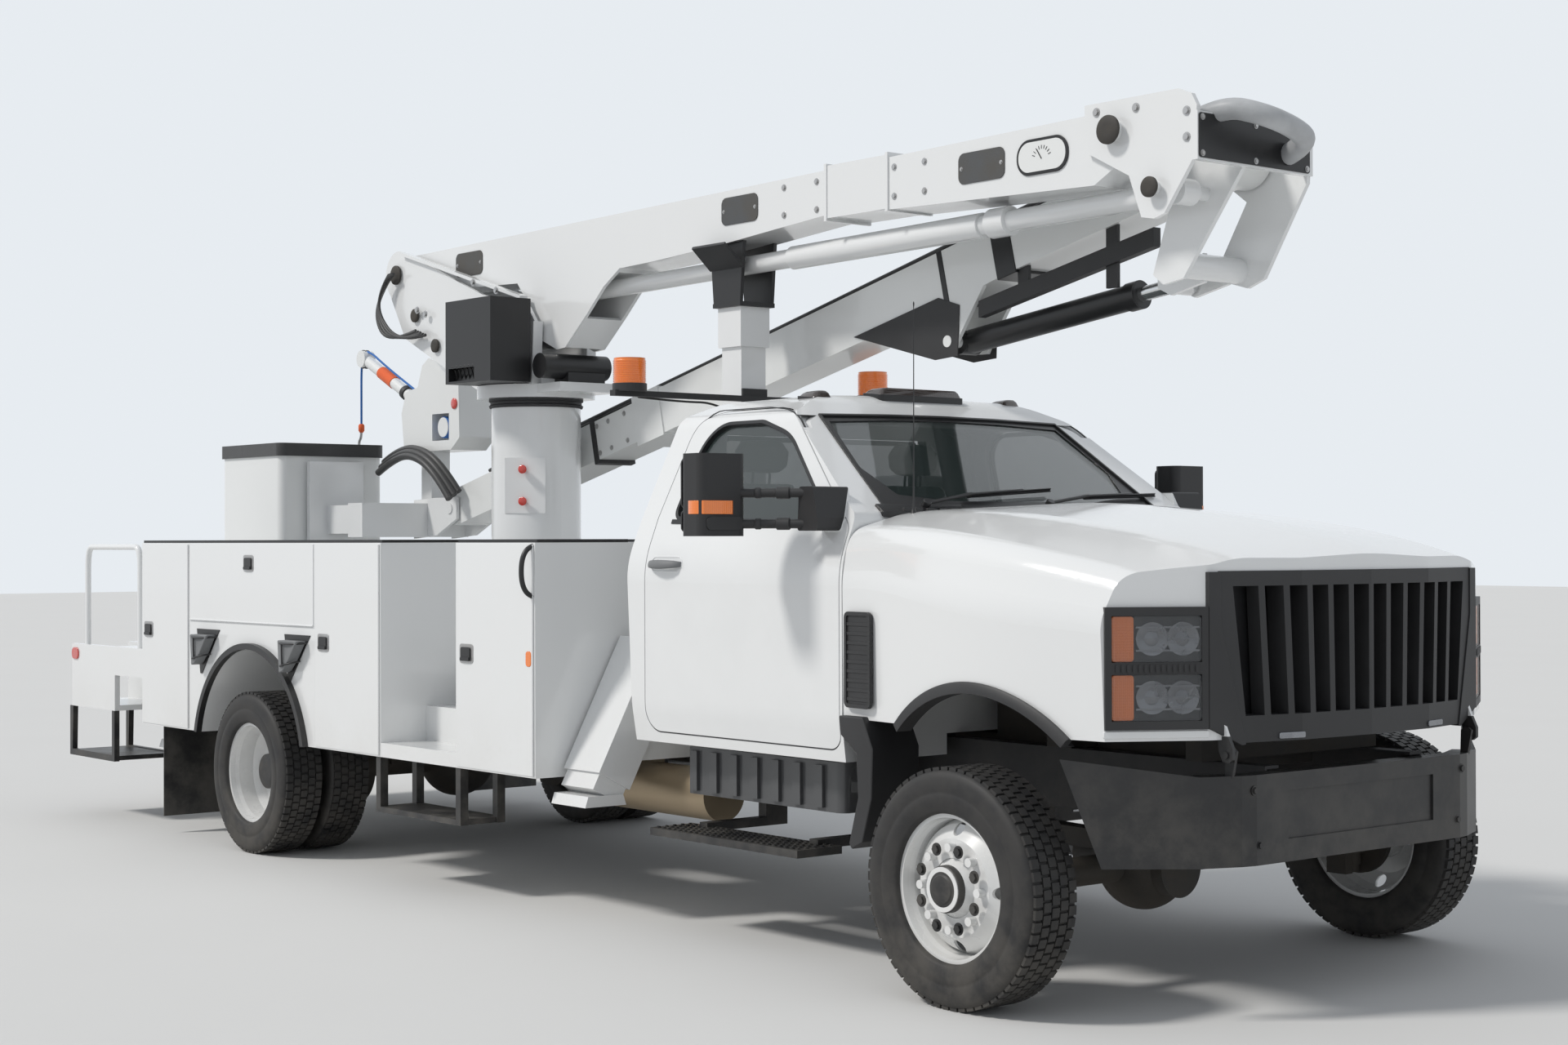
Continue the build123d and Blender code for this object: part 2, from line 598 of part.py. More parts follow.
def hood_form(wall):
    """The hood's outside, or with a wall the space inside it, open below and behind."""
    wires = []
    for x, half in HOOD_SECTIONS.items():
        shrunk = [(y - wall if y else 0, z - wall, max(radius - wall, 0)) for y, z, radius in half]
        if wall:
            shrunk[0] = (shrunk[0][0], HOOD_LOW - 100, 0)
        station = x - wall if wall and x == HOOD_REAR else x
        wires.append(rounded([((station, y, z), radius) for y, z, radius in closed_section(shrunk)]))
    form = Solid.make_loft(wires, ruled=False)
    plan = []
    for x, y, radius in HOOD_PLAN:
        shift = 0 if y > 1100 and x > 0 else (10 if x < 0 else wall)
        plan.append((x - (shift if wall else 0), y, radius))
    outline = plan + [(x, -y, radius) for x, y, radius in plan[::-1] if y > 0]
    slab = Solid.extrude(Face(rounded([((x, y, 700), radius) for x, y, radius in outline])), Vector(0, 0, 1100))
    return form & slab


LAMP_LOW = 955
LAMP_HIGH = 1350
LAMP_FROM = (528, -1022)
LAMP_TO = (707, -728)


def lamp_blank(outward, inward):
    """The headlamp's place on the hood's front corner, between two depths along its normal."""
    run = Vector(LAMP_TO[0] - LAMP_FROM[0], LAMP_TO[1] - LAMP_FROM[1], 0).normalized()
    normal = Vector(-run.Y, run.X, 0) * -1
    base = Vector(LAMP_FROM[0], LAMP_FROM[1], 0) + normal * outward
    end = Vector(LAMP_TO[0], LAMP_TO[1], 0) + normal * outward
    corners = [(base.X, base.Y, LAMP_LOW), (end.X, end.Y, LAMP_LOW), (end.X, end.Y, LAMP_HIGH), (base.X, base.Y, LAMP_HIGH)]
    face = Face(Wire.make_polygon(corners, close=True))
    return Solid.extrude(face, normal * -(outward + inward)), run, normal


GRILLE_TOP = 1484
GRILLE_LOW = 905
GRILLE_BARS = 11
GRILLE_HALF = 690              # half width of the surround above the lamps' middle
GRILLE_FOOT = 590


def grille_outline(grow):
    """Front view of the grille's surround, tapering below the lamps' middle."""
    top, foot = GRILLE_TOP - 20 + grow, GRILLE_LOW - grow
    wide, narrow = GRILLE_HALF + grow, GRILLE_FOOT + grow
    return [(-wide, top), (wide, top), (wide, 1300), (narrow, foot), (-narrow, foot), (-wide, 1300)]


def hood():
    """One-piece tilting hood with fenders: hollow, arches cut, lamp and grille openings."""
    shell = hood_form(0) - hood_form(HOOD_WALL)
    arch = cross_rod((ARCH_X, ARCH_Z), -1300, 1300, ARCH_R)
    shell = shell - arch
    pocket = lamp_blank(60, 60)[0]
    shell = shell - pocket - flip(pocket)
    shell = shell - front_cut(grille_outline(SEAT_GAP), 640, 900)
    ear = side_cut([(706, 990), (722, 990), (764, 890), (764, 856), (750, 846), (726, 850), (712, 880)], -HINGE_EAR, -HINGE_EAR + 12)
    ear = ear - cross_rod(HOOD_PIVOT, -HINGE_EAR - 20, -HINGE_EAR + 30, HINGE_PIN_R + FIT)
    return fuse(shell, ear, flip(ear))


HINGE_EAR = 676                # outer face of the hood's hinge ears
HINGE_PIN_R = 12


def grille():
    """Black surround with tall bars, following the hood's rounded nose."""
    plan = [(688, GRILLE_HALF), (724, GRILLE_HALF), (790, 350), (GRILLE_FRONT, 0)]
    nose = plan_cut(plan + [(x, -y) for x, y in plan[::-1] if y > 0], GRILLE_LOW - 10, GRILLE_TOP + 10)
    inner = [(-634, 1415), (634, 1415), (584, 992), (-584, 992)]
    surround = front_cut(grille_outline(0), 688, 900) - front_cut(inner, 600, 950)
    bars = []
    for k in range(GRILLE_BARS):
        y = -570 + 1140 * (k + 0.5) / GRILLE_BARS
        lean = 0.05 * y
        bars.append(front_cut([(y - 13, 1425), (y + 13, 1425), (y + 13 - lean, 982), (y - 13 - lean, 982)], 705, 900))
    return fuse(surround, *bars) & nose


def headlamps():
    """Stacked lamps in a bezel on each front corner."""
    bezel, run, normal = lamp_blank(14, 34)
    for low, high in ((LAMP_LOW + 28, LAMP_LOW + 178), (LAMP_HIGH - 178, LAMP_HIGH - 28)):
        base = Vector(LAMP_FROM[0], LAMP_FROM[1], 0) + run * 22 + normal * 30
        end = Vector(LAMP_TO[0], LAMP_TO[1], 0) - run * 22 + normal * 30
        corners = [(base.X, base.Y, low), (end.X, end.Y, low), (end.X, end.Y, high), (base.X, base.Y, high)]
        bezel = bezel - Solid.extrude(Face(Wire.make_polygon(corners, close=True)), normal * -46)
    return [bezel, flip(bezel)]


# Bumper and steps

def bumper():
    """Wrap-round steel bumper: folded plate with bevelled ends and a recess in its middle."""
    ends = [(BUMPER_END_X, -BUMPER_HALF), (700, -760), (BUMPER_FRONT - 12, -620), (BUMPER_FRONT, -560)]
    outside = ends + [(x, -y) for x, y in ends[::-1]]
    inside = [(x - BUMPER_PLATE * 1.3, y * (1 - 0.006)) for x, y in outside]
    plate = plan_cut(outside + inside[::-1], BUMPER_LOW, BUMPER_END_TOP)
    middle = [point for point in outside if abs(point[1]) < 800]
    flange = middle + [(x - 70, y * 0.94) for x, y in middle[::-1]]
    top = plan_cut(flange, BUMPER_TOP - 12, BUMPER_TOP)
    low = plan_cut(flange, BUMPER_LOW, BUMPER_LOW + 8)
    recess = block(BUMPER_FRONT - 8, BUMPER_FRONT + 20, -RECESS_HALF, RECESS_HALF, 580, 740)
    horns = [block(FRAME_FRONT + SEAT_GAP, BUMPER_FRONT - 10, side * 330, side * 430, 610, 770) for side in (-1, 1)]
    body = fuse(plate, top, low, *horns) - recess
    rise = [(-BUMPER_HALF, BUMPER_END_TOP), (-760, BUMPER_TOP), (760, BUMPER_TOP), (BUMPER_HALF, BUMPER_END_TOP),
            (BUMPER_HALF, 950), (-BUMPER_HALF, 950)]
    body = body - front_cut(rise, 300, 900)
    toe = [(BUMPER_END_X - 60, BUMPER_END_TOP + 20), (BUMPER_END_X - 5, BUMPER_END_TOP + 20),
           (BUMPER_END_X + 88, BUMPER_LOW - 15), (BUMPER_END_X - 60, BUMPER_LOW - 15)]
    body = body - side_cut(toe, -BUMPER_HALF - 50, BUMPER_HALF + 50)
    inner = -HINGE_EAR + 12 + 10
    ear = side_cut([(715, BUMPER_TOP - 8), (745, BUMPER_TOP - 8), (762, 880), (750, 890), (730, 890), (718, 880)], inner, inner + 12)
    pin = cross_rod(HOOD_PIVOT, -HINGE_EAR - 8, inner + 12, HINGE_PIN_R)
    ear = fuse(ear, pin)
    return fuse(body, ear, flip(ear))


BUMPER_END_X = 415
RECESS_HALF = 400


def steps():
    """Black hanging steps: cab, body notch and tail."""
    solids = []
    deck = block(-1960, -1030, -1010, -790, 380, 410)
    arms = [block(x, x + 50, -850, -540, 395, 430) for x in (-1840, -1150)]
    straps = [block(x, x + 50, -545, -RAIL_OUT - SEAT_GAP, 395, 690) for x in (-1840, -1150)]
    solids.append(fuse(deck, *arms, *straps))
    left = flip(solids[0])
    solids.append(left)
    hanger = [(NOTCH_REAR - 60, PACK_LOW - 0.3), (NOTCH_REAR - 20, PACK_LOW - 0.3), (NOTCH_REAR - 20, 345), (NOTCH_FRONT - 20, 345),
              (NOTCH_FRONT - 20, PACK_LOW - 0.3), (NOTCH_FRONT + 20, PACK_LOW - 0.3), (NOTCH_FRONT + 20, 320), (NOTCH_REAR - 60, 320)]
    loop = side_cut(hanger, -1190, -1150)
    tread = block(NOTCH_REAR - 50, NOTCH_FRONT + 10, -1155, -960, 320, 345)
    back = side_cut(hanger, -1000, -960)
    solids.append(fuse(loop, tread, back))
    top = TAIL_BOX_LOW - SEAT_GAP
    tail = [(TAIL_REAR + 560, top), (TAIL_REAR + 595, top), (TAIL_REAR + 595, 335), (TAIL_STEP_REAR, 335), (TAIL_STEP_REAR, top), (TAIL_REAR + 15, top),
            (TAIL_STEP_REAR + 35, 370), (TAIL_REAR + 560, 370)]
    outer = side_cut(tail, -1190, -1160)
    inner = side_cut(tail, -850, -820)
    plate = block(TAIL_STEP_REAR + 10, TAIL_REAR + 590, -1165, -845, 340, 365)
    solids.append(fuse(outer, inner, plate))
    return solids


# Service body

def pack_side(notched):
    """Right compartment pack: one open tub for each bay, the arch's block, and a step notch if asked."""
    inner = -(BODY_HALF - PACK_DEPTH)
    half_gap = SEAT_GAP / 2
    tubs = []
    for rear, front, low, high in bay_table(notched):
        low_edge = low + half_gap if low > PACK_LOW else low
        tub = block(rear + half_gap, front - half_gap, -BODY_HALF, inner, low_edge, high)
        tubs.append(tub - block(rear + PACK_SKIN, front - PACK_SKIN, -BODY_HALF - 10, inner - PACK_SKIN,
                                low + PACK_SKIN, high - PACK_SKIN))
    over_arch = block(REAR_DOOR_LINE + half_gap, MID_BAY_REAR - half_gap, -BODY_HALF, inner, PACK_LOW, TOP_DOOR_LOW - half_gap)
    tubs.append(over_arch - cross_rod((-WHEELBASE, ARCH_Z), -1300, inner + 10, FLARE_R))
    if notched:
        rear, front = NOTCH_REAR + half_gap, NOTCH_FRONT - half_gap
        floor = block(rear, front, -BODY_HALF, inner, PACK_LOW, NOTCH_STEP)
        tubs.append(fuse(floor, block(rear, front, -BODY_HALF + 240, inner, NOTCH_STEP - 10, 800)))
    return tubs


def bay_table(notched):
    """Compartments with a door, as (rear, front, low, high)."""
    bays = [(BODY_REAR, REAR_DOOR_LINE, PACK_LOW, PACK_TOP), (REAR_DOOR_LINE, MID_BAY_REAR, TOP_DOOR_LOW, PACK_TOP)]
    if notched:
        return bays + [(MID_BAY_REAR, NOTCH_REAR, PACK_LOW, PACK_TOP), (NOTCH_FRONT, BODY_FRONT, PACK_LOW, PACK_TOP)]
    half = (MID_BAY_REAR + BODY_FRONT) / 2
    return bays + [(MID_BAY_REAR, half, PACK_LOW, PACK_TOP), (half, BODY_FRONT, PACK_LOW, PACK_TOP)]


BAY_NAMES = ("rear", "over_wheel", "middle", "front")


def bay_doors(notched):
    """One sheet door for each bay, seated in the opening's mouth and a little proud of the side."""
    doors = []
    for rear, front, low, high in bay_table(notched):
        sheet = block(rear + PACK_SKIN / 2, front - PACK_SKIN / 2, -BODY_HALF - DOOR_PROUD, -BODY_HALF - 0.3, low + 8, high - 8)
        pan = block(rear + PACK_SKIN + SEAM, front - PACK_SKIN - SEAM, -BODY_HALF - 1, -BODY_HALF + DOOR_SHEET,
                    low + PACK_SKIN + SEAM, high - PACK_SKIN - SEAM)
        doors.append(fuse(sheet, pan))
    return doors


def cargo_bed():
    """Bed between the packs: floor, sub-frame sills, front bulkhead, tail deck, tail box and outrigger guides."""
    inner = BODY_HALF - PACK_DEPTH - 0.3
    floor = block(BODY_REAR, BODY_FRONT, -inner, inner, BED_TOP - BED_SKIN, BED_TOP)
    sills = [block(BODY_REAR, BODY_FRONT, side * 360, side * 430, RAIL_TOP + 0.3, BED_TOP - BED_SKIN + 1) for side in (-1, 1)]
    head = block(BODY_FRONT - 40, BODY_FRONT, -inner, inner, BED_TOP - 1, PACK_TOP)
    deck = block(TAIL_REAR, BODY_REAR - 0.3, -1190, 1190, TAIL_DECK_Z - 160, TAIL_DECK_Z)
    link = block(BODY_REAR - 1, BODY_REAR + 1, -inner, inner, BED_TOP - BED_SKIN, BED_TOP)
    tail_sills = [block(TAIL_REAR + 150, BODY_REAR + 1, side * 360, side * 430, RAIL_TOP + 0.3, BED_TOP - BED_SKIN + 1) for side in (-1, 1)]
    boxes = [block(TAIL_REAR, TAIL_REAR + 600, -1190, -1160, TAIL_BOX_LOW, TAIL_DECK_Z - 1),
             block(TAIL_REAR, TAIL_REAR + 600, -850, -820, TAIL_BOX_LOW, TAIL_DECK_Z - 1),
             block(TAIL_REAR, TAIL_REAR + 600, -1190, -820, TAIL_BOX_LOW, TAIL_BOX_LOW + 30)]
    notch = block(TAIL_REAR - 10, TAIL_REAR + 570, -1158, -852, TAIL_BOX_LOW + 32, TAIL_DECK_Z + 10)
    well = slanted(REAR_LEG_TOP, -80, 600, LEG_W / 2 + 12 + SEAT_GAP, (REAR_LEG_X[0] - SEAT_GAP, REAR_LEG_X[1] + SEAT_GAP))
    return fuse(floor, *sills, head, deck, link, *tail_sills, *boxes) - notch - well - flip(well)


TAIL_BOX_LOW = 620


LEG_W = 150
LEG_LEN = 520
LEG_LEAN = 28                  # degrees from upright
FRONT_LEG_X = (-2495, -2235)
REAR_LEG_X = (TAIL_REAR + 610, TAIL_REAR + 870)
LEG_TOP = (-700, 1120)         # (y, z) of the guide's middle line at its upper end, front pair
REAR_LEG_TOP = (-542, 975)


def leg_axis():
    """Downward and outward direction of a right leg."""
    return (-sin(radians(LEG_LEAN)), -cos(radians(LEG_LEAN)))


def slanted(top, start, end, half, stations):
    """A bar along the leg's axis, square to it, between two distances from its top point."""
    dy, dz = leg_axis()
    ny, nz = -dz, dy
    corners = []
    for distance, sign in ((start, 1), (end, 1), (end, -1), (start, -1)):
        corners.append((top[0] + dy * distance + ny * half * sign, top[1] + dz * distance + nz * half * sign))
    return front_cut(corners, *stations)


def outrigger(top, stations, foot_at, guide_len):
    """A guide box on the frame, and the leg with its foot that slides out of it."""
    x0, x1 = stations
    guide = slanted(top, 0, guide_len, LEG_W / 2 + 12, stations) - slanted(top, -20, guide_len + 20, LEG_W / 2, (x0 + 12, x1 - 12))
    leg = slanted(top, 5, foot_at, LEG_W / 2 - 0.6, (x0 + 12.6, x1 - 12.6))
    dy, dz = leg_axis()
    beam_low = RAIL_TOP - RAIL_H + 45
    reach = top[0] + dy * (top[1] - beam_low) / -dz + LEG_W / 2
    beam = block(x0 + 40, x1 - 40, reach, -RAIL_OUT - SEAT_GAP, beam_low, beam_low + 100)
    guide = fuse(guide, beam - slanted(top, -20, guide_len + 20, LEG_W / 2, (x0 + 12, x1 - 12)))
    end = (top[0] + dy * foot_at, top[1] + dz * foot_at)
    sole = front_cut([(end[0] - 110, end[1] - 40), (end[0] + 95, end[1] - 40), (end[0] + 80, end[1] + 5), (end[0] - 95, end[1] + 5)],
                     x0 + 5, x1 - 5)
    return guide, fuse(leg, sole)


def pads_and_trim():
    """Black trim on the body: arch flares, mud flaps, top rails and chock holders."""
    solids = []
    outer = BODY_HALF + 0.3
    for side in (-1, 1):
        flare = cross_rod((-WHEELBASE, ARCH_Z), side * outer, side * (outer + 30), FLARE_R + 30) - \
            cross_rod((-WHEELBASE, ARCH_Z), side * (outer - 5), side * (outer + 40), FLARE_R)
        flare = flare & block(-WHEELBASE - 700, -WHEELBASE + 700, -1300, 1300, PACK_LOW, 1200)
        solids.append(flare)
        flap = block(BODY_REAR + 250, BODY_REAR + 258, side * 750, side * 1190, 90, PACK_LOW - 0.3)
        solids.append(flap)
        rail = block(BODY_REAR, BODY_FRONT, side * 725, side * 1190, PACK_TOP + 0.3, PACK_TOP + 14)
        if side < 0:
            rail = rail - block(NOTCH_REAR - 5, NOTCH_FRONT + 5, -1300, -600, PACK_TOP - 10, PACK_TOP + 30)
        solids.append(rail)
        for rear in (-5720, -4740):
            holder = side_cut([(rear, 1112), (rear + 265, 1112), (rear + 60, 880), (rear + 40, 880)], side * outer, side * (outer + 4))
            solids.append(holder)
    return solids


# Aerial lift

BOOM_UNDERSIDE = [(-350, 2895), (-1540, 2935), (-1900, 2955), (-2650, 2900), (-3150, 2875), (-3400, 2868),
                  (-4300, 2872), (-5520, 2920)]


def boom_bottom(x):
    """Height of the lower boom's underside at a station."""
    for front, rear in zip(BOOM_UNDERSIDE, BOOM_UNDERSIDE[1:]):
        if rear[0] <= x <= front[0]:
            return rear[1] + (front[1] - rear[1]) * (x - rear[0]) / (front[0] - rear[0])


POST_X = -2620
POST_HALF = 70


def boom_supports():
    """Pedestal with its foot plate, and the boom rest's post."""
    foot = block(PEDESTAL_X - 330, PEDESTAL_X + 330, -330, 330, BED_TOP + 0.3, BED_TOP + 25)
    tube = rod((PEDESTAL_X, 0, BED_TOP + 10), (PEDESTAL_X, 0, 2240), PEDESTAL_R)
    neck = rod((PEDESTAL_X, 0, 2230), (PEDESTAL_X, 0, RING_LOW - 0.3), PEDESTAL_R - 8)
    post = block(POST_X - POST_HALF, POST_X + POST_HALF, -POST_HALF, POST_HALF, BED_TOP + SEAT_GAP, 2480)
    sleeve = block(POST_X - POST_HALF - 13, POST_X + POST_HALF + 13, -POST_HALF - 13, POST_HALF + 13, 2440, 2620)
    return [fuse(foot, tube, neck), fuse(post, sleeve)]


TURRET_IN = 150
TURRET_OUT = TURRET_IN + BOOM_PLATE


def turntable():
    """Rotating ring, flat beside the upper boom, with two leaning side plates that carry the lower boom's pivot."""
    disc = rod((PEDESTAL_X, 0, RING_LOW), (PEDESTAL_X, 0, RING_TOP), RING_R)
    disc = disc & block(PEDESTAL_X - 400, PEDESTAL_X + 400, -400, UPPER_IN - 10, RING_LOW - 10, RING_TOP + 10)
    nose = block(PEDESTAL_X + 150, -3870, -160, 200, RING_LOW + 20, RING_TOP)
    ear = 130
    plate_line = [(-4620, RING_TOP - 5), (-4100, RING_TOP - 5), (-4080, 2660), (-4180, 2780), (-4560, 2830),
                  (BOOM_PIVOT[0] + 40, BOOM_PIVOT[1] + ear - 8), (BOOM_PIVOT[0] - ear + 20, BOOM_PIVOT[1] - 60), (-5354, 2661), (-4940, 2477)]
    solids = [disc, nose]
    for side in (-1, 1):
        plate = side_cut(plate_line, side * TURRET_IN, side * TURRET_OUT)
        solids.append(plate)
        solids.append(cross_rod(BOOM_PIVOT, side * TURRET_IN, side * TURRET_OUT, ear))
        flange = beam_outline((-4180, 2788), (-5360, 3118), [(0, 8), (1, 8)])
        solids.append(side_cut(flange, side * TURRET_IN, side * (TURRET_OUT + 25)) if side < 0 else side_cut(flange, TURRET_IN - 5, TURRET_OUT))
        solids.append(side_cut([(-4108, RING_TOP - 5), (-4080, RING_TOP - 5), (-4062, 2660), (-4090, 2660)], side * (TURRET_IN - 15), side * (TURRET_OUT + 20)))
    for pin in (BOOM_PIVOT, LINK_REAR, LIFT_BASE):
        solids.append(cross_rod(pin, -TURRET_OUT - 8, TURRET_OUT + 8, PIN_R if pin == BOOM_PIVOT else 25))
    return fuse(solids[0], *solids[1:])


def slew_gear():
    """Black slew motor lying across the turntable's nose, its housing and the pinion box below."""
    at = (-3950, 2430)
    motor = cross_rod(at, -230, 160, 62)
    foot = block(-4010, -3890, -100, 120, RING_TOP + SEAT_GAP, 2400)
    return fuse(motor, foot)


def control_box():
    """Black valve box with a lever row, on an arm from the turret's near plate."""
    box = block(-4470, -4050, -450, -215, RING_TOP + 4, 2768) - block(-4440, -4200, -470, -410, RING_TOP + 15, 2430)
    arm = block(-4330, -4180, -220, -TURRET_OUT - SEAT_GAP, 2560, 2700)
    levers = [rod((-4420 + 38 * k, -405, 2372), (-4408 + 38 * k, -432, 2425), 4) for k in range(6)]
    return fuse(box, arm, *levers)


def lower_boom():
    """Box boom: steel butt with a deep leg for the lift ram, fibreglass middle, steel tip."""
    half = BOOM_HALF
    outline = [(-5520, 3108), (-350, 3162), (-160, 3162), (-130, 3010)] + BOOM_UNDERSIDE
    boom = side_cut(outline, -half, half)
    butt = cross_rod(BOOM_PIVOT, -half - 25, half + 25, 95)
    insert = beam_outline((-1500, 3050), (-1905, 3052), [(0, 112), (1, 112)])
    collars = [side_cut(beam_outline((x, 3050), (x - 16, 3050), [(0, 122), (1, 122)]), -half - 8, half + 8) for x in (-1500, -1890)]
    leg_line = [(-4320, 2875), (-3420, 2870), (-3560, 2790), (-3700, 2670), (-3890, 2520), (-3960, 2514), (-4110, 2575), (-4150, 2680)]
    leg = side_cut(leg_line, -half, half) - block(-4600, -3300, 18 - half, half - 18, 2400, 2852)
    front_web = side_cut([(-3722, 2652), (-3880, 2520), (-3892, 2534), (-3738, 2664)], 10 - half, half - 10)
    boom = fuse(boom, butt, side_cut(insert, -half - 3, half + 3), leg, front_web, *collars)
    bore = cross_rod(BOOM_PIVOT, -half - 40, half + 40, PIN_R + FIT)
    tip = cross_rod(BOOM_TIP, -half - 10, half + 10, PIN_R + FIT)
    return boom - bore - tip


def level_link():
    """Parallel link below the boom: steel ends and a thicker fibreglass middle."""
    rear, front = LINK_REAR, LINK_FRONT
    tube = rod((rear[0], 0, rear[1]), (front[0], 0, front[1]), 42)
    middle = rod((*along(rear, front, 0.57)[:1], 0, along(rear, front, 0.57)[1]), (along(rear, front, 0.80)[0], 0, along(rear, front, 0.80)[1]), 52)
    collar = rod((along(rear, front, 0.81)[0], 0, along(rear, front, 0.81)[1]), (along(rear, front, 0.83)[0], 0, along(rear, front, 0.83)[1]), 60)
    eyes = [cross_rod(at, -45, 45, 50) for at in (rear, front)]
    link = fuse(tube, middle, collar, *eyes)
    for at in (rear, front):
        link = link - cross_rod(at, -60, 60, 25 + FIT)
    return link


def ram(base, eye, barrel_r, rod_r, barrel_len, y, pin_r, eye_half):
    """A hydraulic cylinder between two pins: barrel with its base eye, and the rod with its end eye."""
    run = ((eye[0] - base[0]), (eye[1] - base[1]))
    length = (run[0] ** 2 + run[1] ** 2) ** 0.5
    step = (run[0] / length, run[1] / length)

    def point(distance):
        return (base[0] + step[0] * distance, y, base[1] + step[1] * distance)
    barrel = fuse(rod(point(30), point(barrel_len), barrel_r), rod(point(barrel_len - 60), point(barrel_len - 1), barrel_r + 6),
                  cross_rod(base, y - eye_half, y + eye_half, barrel_r))
    barrel = barrel - rod(point(80), point(barrel_len + 10), rod_r + FIT)
    barrel = barrel - cross_rod(base, y - 200, y + 200, pin_r + FIT)
    shaft = fuse(rod(point(110), point(length - 20), rod_r), cross_rod(eye, y - eye_half, y + eye_half, barrel_r * 0.85))
    return barrel, shaft


ELBOW_IN = BOOM_HALF
ELBOW_FAR = 485


def elbow():
    """Elbow at the lower boom's tip: near and inner plates on the boom, far plate with its arm, front cover, cross tube."""
    near_line = [(-370, 3194), (90, 3190), (150, 3165), (175, 3120), (165, 2941), (20, 2748), (-30, 2734), (-90, 2745), (-150, 2905), (-370, 3020)]
    near = side_cut(near_line, -ELBOW_IN - BOOM_PLATE - 8, -ELBOW_IN - 8)
    inner_line = [(-370, 3185), (150, 3165), (175, 3120), (165, 2941), (60, 2800), (-130, 2545), (-230, 2530), (-280, 2570), (-200, 2800), (-370, 3000)]
    inner = side_cut(inner_line, ELBOW_IN + 8, ELBOW_IN + BOOM_PLATE + 8)
    far_line = [(-250, 3135), (120, 3135), (175, 3105), (165, 2900), (-40, 2560), (-120, 2530), (-220, 2560), (-250, 2640), (-120, 2860), (-250, 2960)]
    far = side_cut(far_line, ELBOW_FAR, ELBOW_FAR + BOOM_PLATE)
    cover = block(150, 178, -ELBOW_IN - BOOM_PLATE - 8, ELBOW_FAR + BOOM_PLATE, 2925, 3100)
    lower_tube = cross_rod((-165, 2600), ELBOW_IN + 8, ELBOW_FAR + 5, 50)
    lug = [side_cut([(-165, 2545), (-165, 2655), (-330, 2612), (-395, 2580), (-395, 2540), (-330, 2508)], y, y + 22) for y in (285, 423)]
    pins = [cross_rod(BOOM_TIP, -ELBOW_IN - BOOM_PLATE - 30, ELBOW_IN + BOOM_PLATE + 8, PIN_R),
            cross_rod(LINK_FRONT, -ELBOW_IN - BOOM_PLATE - 30, ELBOW_IN + BOOM_PLATE + 8, 25),
            cross_rod(UPPER_PIVOT, ELBOW_IN + 8, ELBOW_FAR + BOOM_PLATE + 20, PIN_R)]
    return fuse(near, inner, far, cover, lower_tube, *lug, *pins)


def upper_boom():
    """Upper boom: steel root with a deep ram lug, fibreglass main length, stepped sleeve and tip casting."""
    half = UPPER_DEPTH / 2
    length = ((UPPER_TIP[0] - UPPER_PIVOT[0]) ** 2 + (UPPER_TIP[1] - UPPER_PIVOT[1]) ** 2) ** 0.5
    depths = [(0.0, 105), (0.2, 105), (0.24, half), (0.655, half), (0.66, 100), (0.99, 100)]
    main = side_cut(beam_outline(UPPER_PIVOT, UPPER_TIP, depths), UPPER_IN, UPPER_OUT)
    root = cross_rod(UPPER_PIVOT, UPPER_IN, UPPER_OUT, 128)
    band = side_cut(beam_outline(along(UPPER_PIVOT, UPPER_TIP, 0.64), along(UPPER_PIVOT, UPPER_TIP, 0.68), [(0, half + 12), (1, half + 12)]), UPPER_IN - 8, UPPER_OUT + 8)
    lug_top = along(UPPER_PIVOT, UPPER_TIP, 0.215)
    lug_rear = along(UPPER_PIVOT, UPPER_TIP, 0.40)
    lug_line = [(lug_top[0], lug_top[1] - 60), (RAM_BASE[0] + 55, RAM_BASE[1] + 5), (RAM_BASE[0] + 25, RAM_BASE[1] - 45), (RAM_BASE[0] - 25, RAM_BASE[1] - 45),
                (RAM_BASE[0] - 60, RAM_BASE[1]), (lug_rear[0] + 250, lug_rear[1] - 60)]
    lugs = [side_cut(lug_line, y, y + 20) for y in (UPPER_IN, UPPER_OUT - 20)]
    pin = cross_rod(RAM_BASE, UPPER_IN - 10, UPPER_OUT + 10, 25)
    tip_boss = cross_rod(UPPER_TIP, UPPER_IN, UPPER_OUT, 95)
    boom = fuse(main, root, band, *lugs, pin, tip_boss)
    return boom - cross_rod(UPPER_PIVOT, UPPER_IN - 10, UPPER_OUT + 10, PIN_R + FIT) - cross_rod(UPPER_TIP, UPPER_IN - 10, UPPER_OUT + 10, 30 + FIT)


def hose_tray():
    """Black tray that guides the hoses under the upper boom's root."""
    slope = (UPPER_PIVOT[1] - UPPER_TIP[1]) / (UPPER_PIVOT[0] - UPPER_TIP[0])
    drop = 105 * (1 + slope ** 2) ** 0.5 + SEAT_GAP

    def under(x):
        return UPPER_PIVOT[1] + (x - UPPER_PIVOT[0]) * slope - drop
    tray = side_cut([(-1360, 2498), (-1360, 2568), (-390, 2775), (-390, 2700)], UPPER_IN + 2, UPPER_IN + 42)
    hangers = [side_cut([(x - 30, 2560), (x - 30, under(x - 30)), (x + 30, under(x + 30)), (x + 30, 2560)], UPPER_IN + 14, UPPER_IN + 30)
               for x in (-1110, -620)]
    return fuse(tray, *hangers)


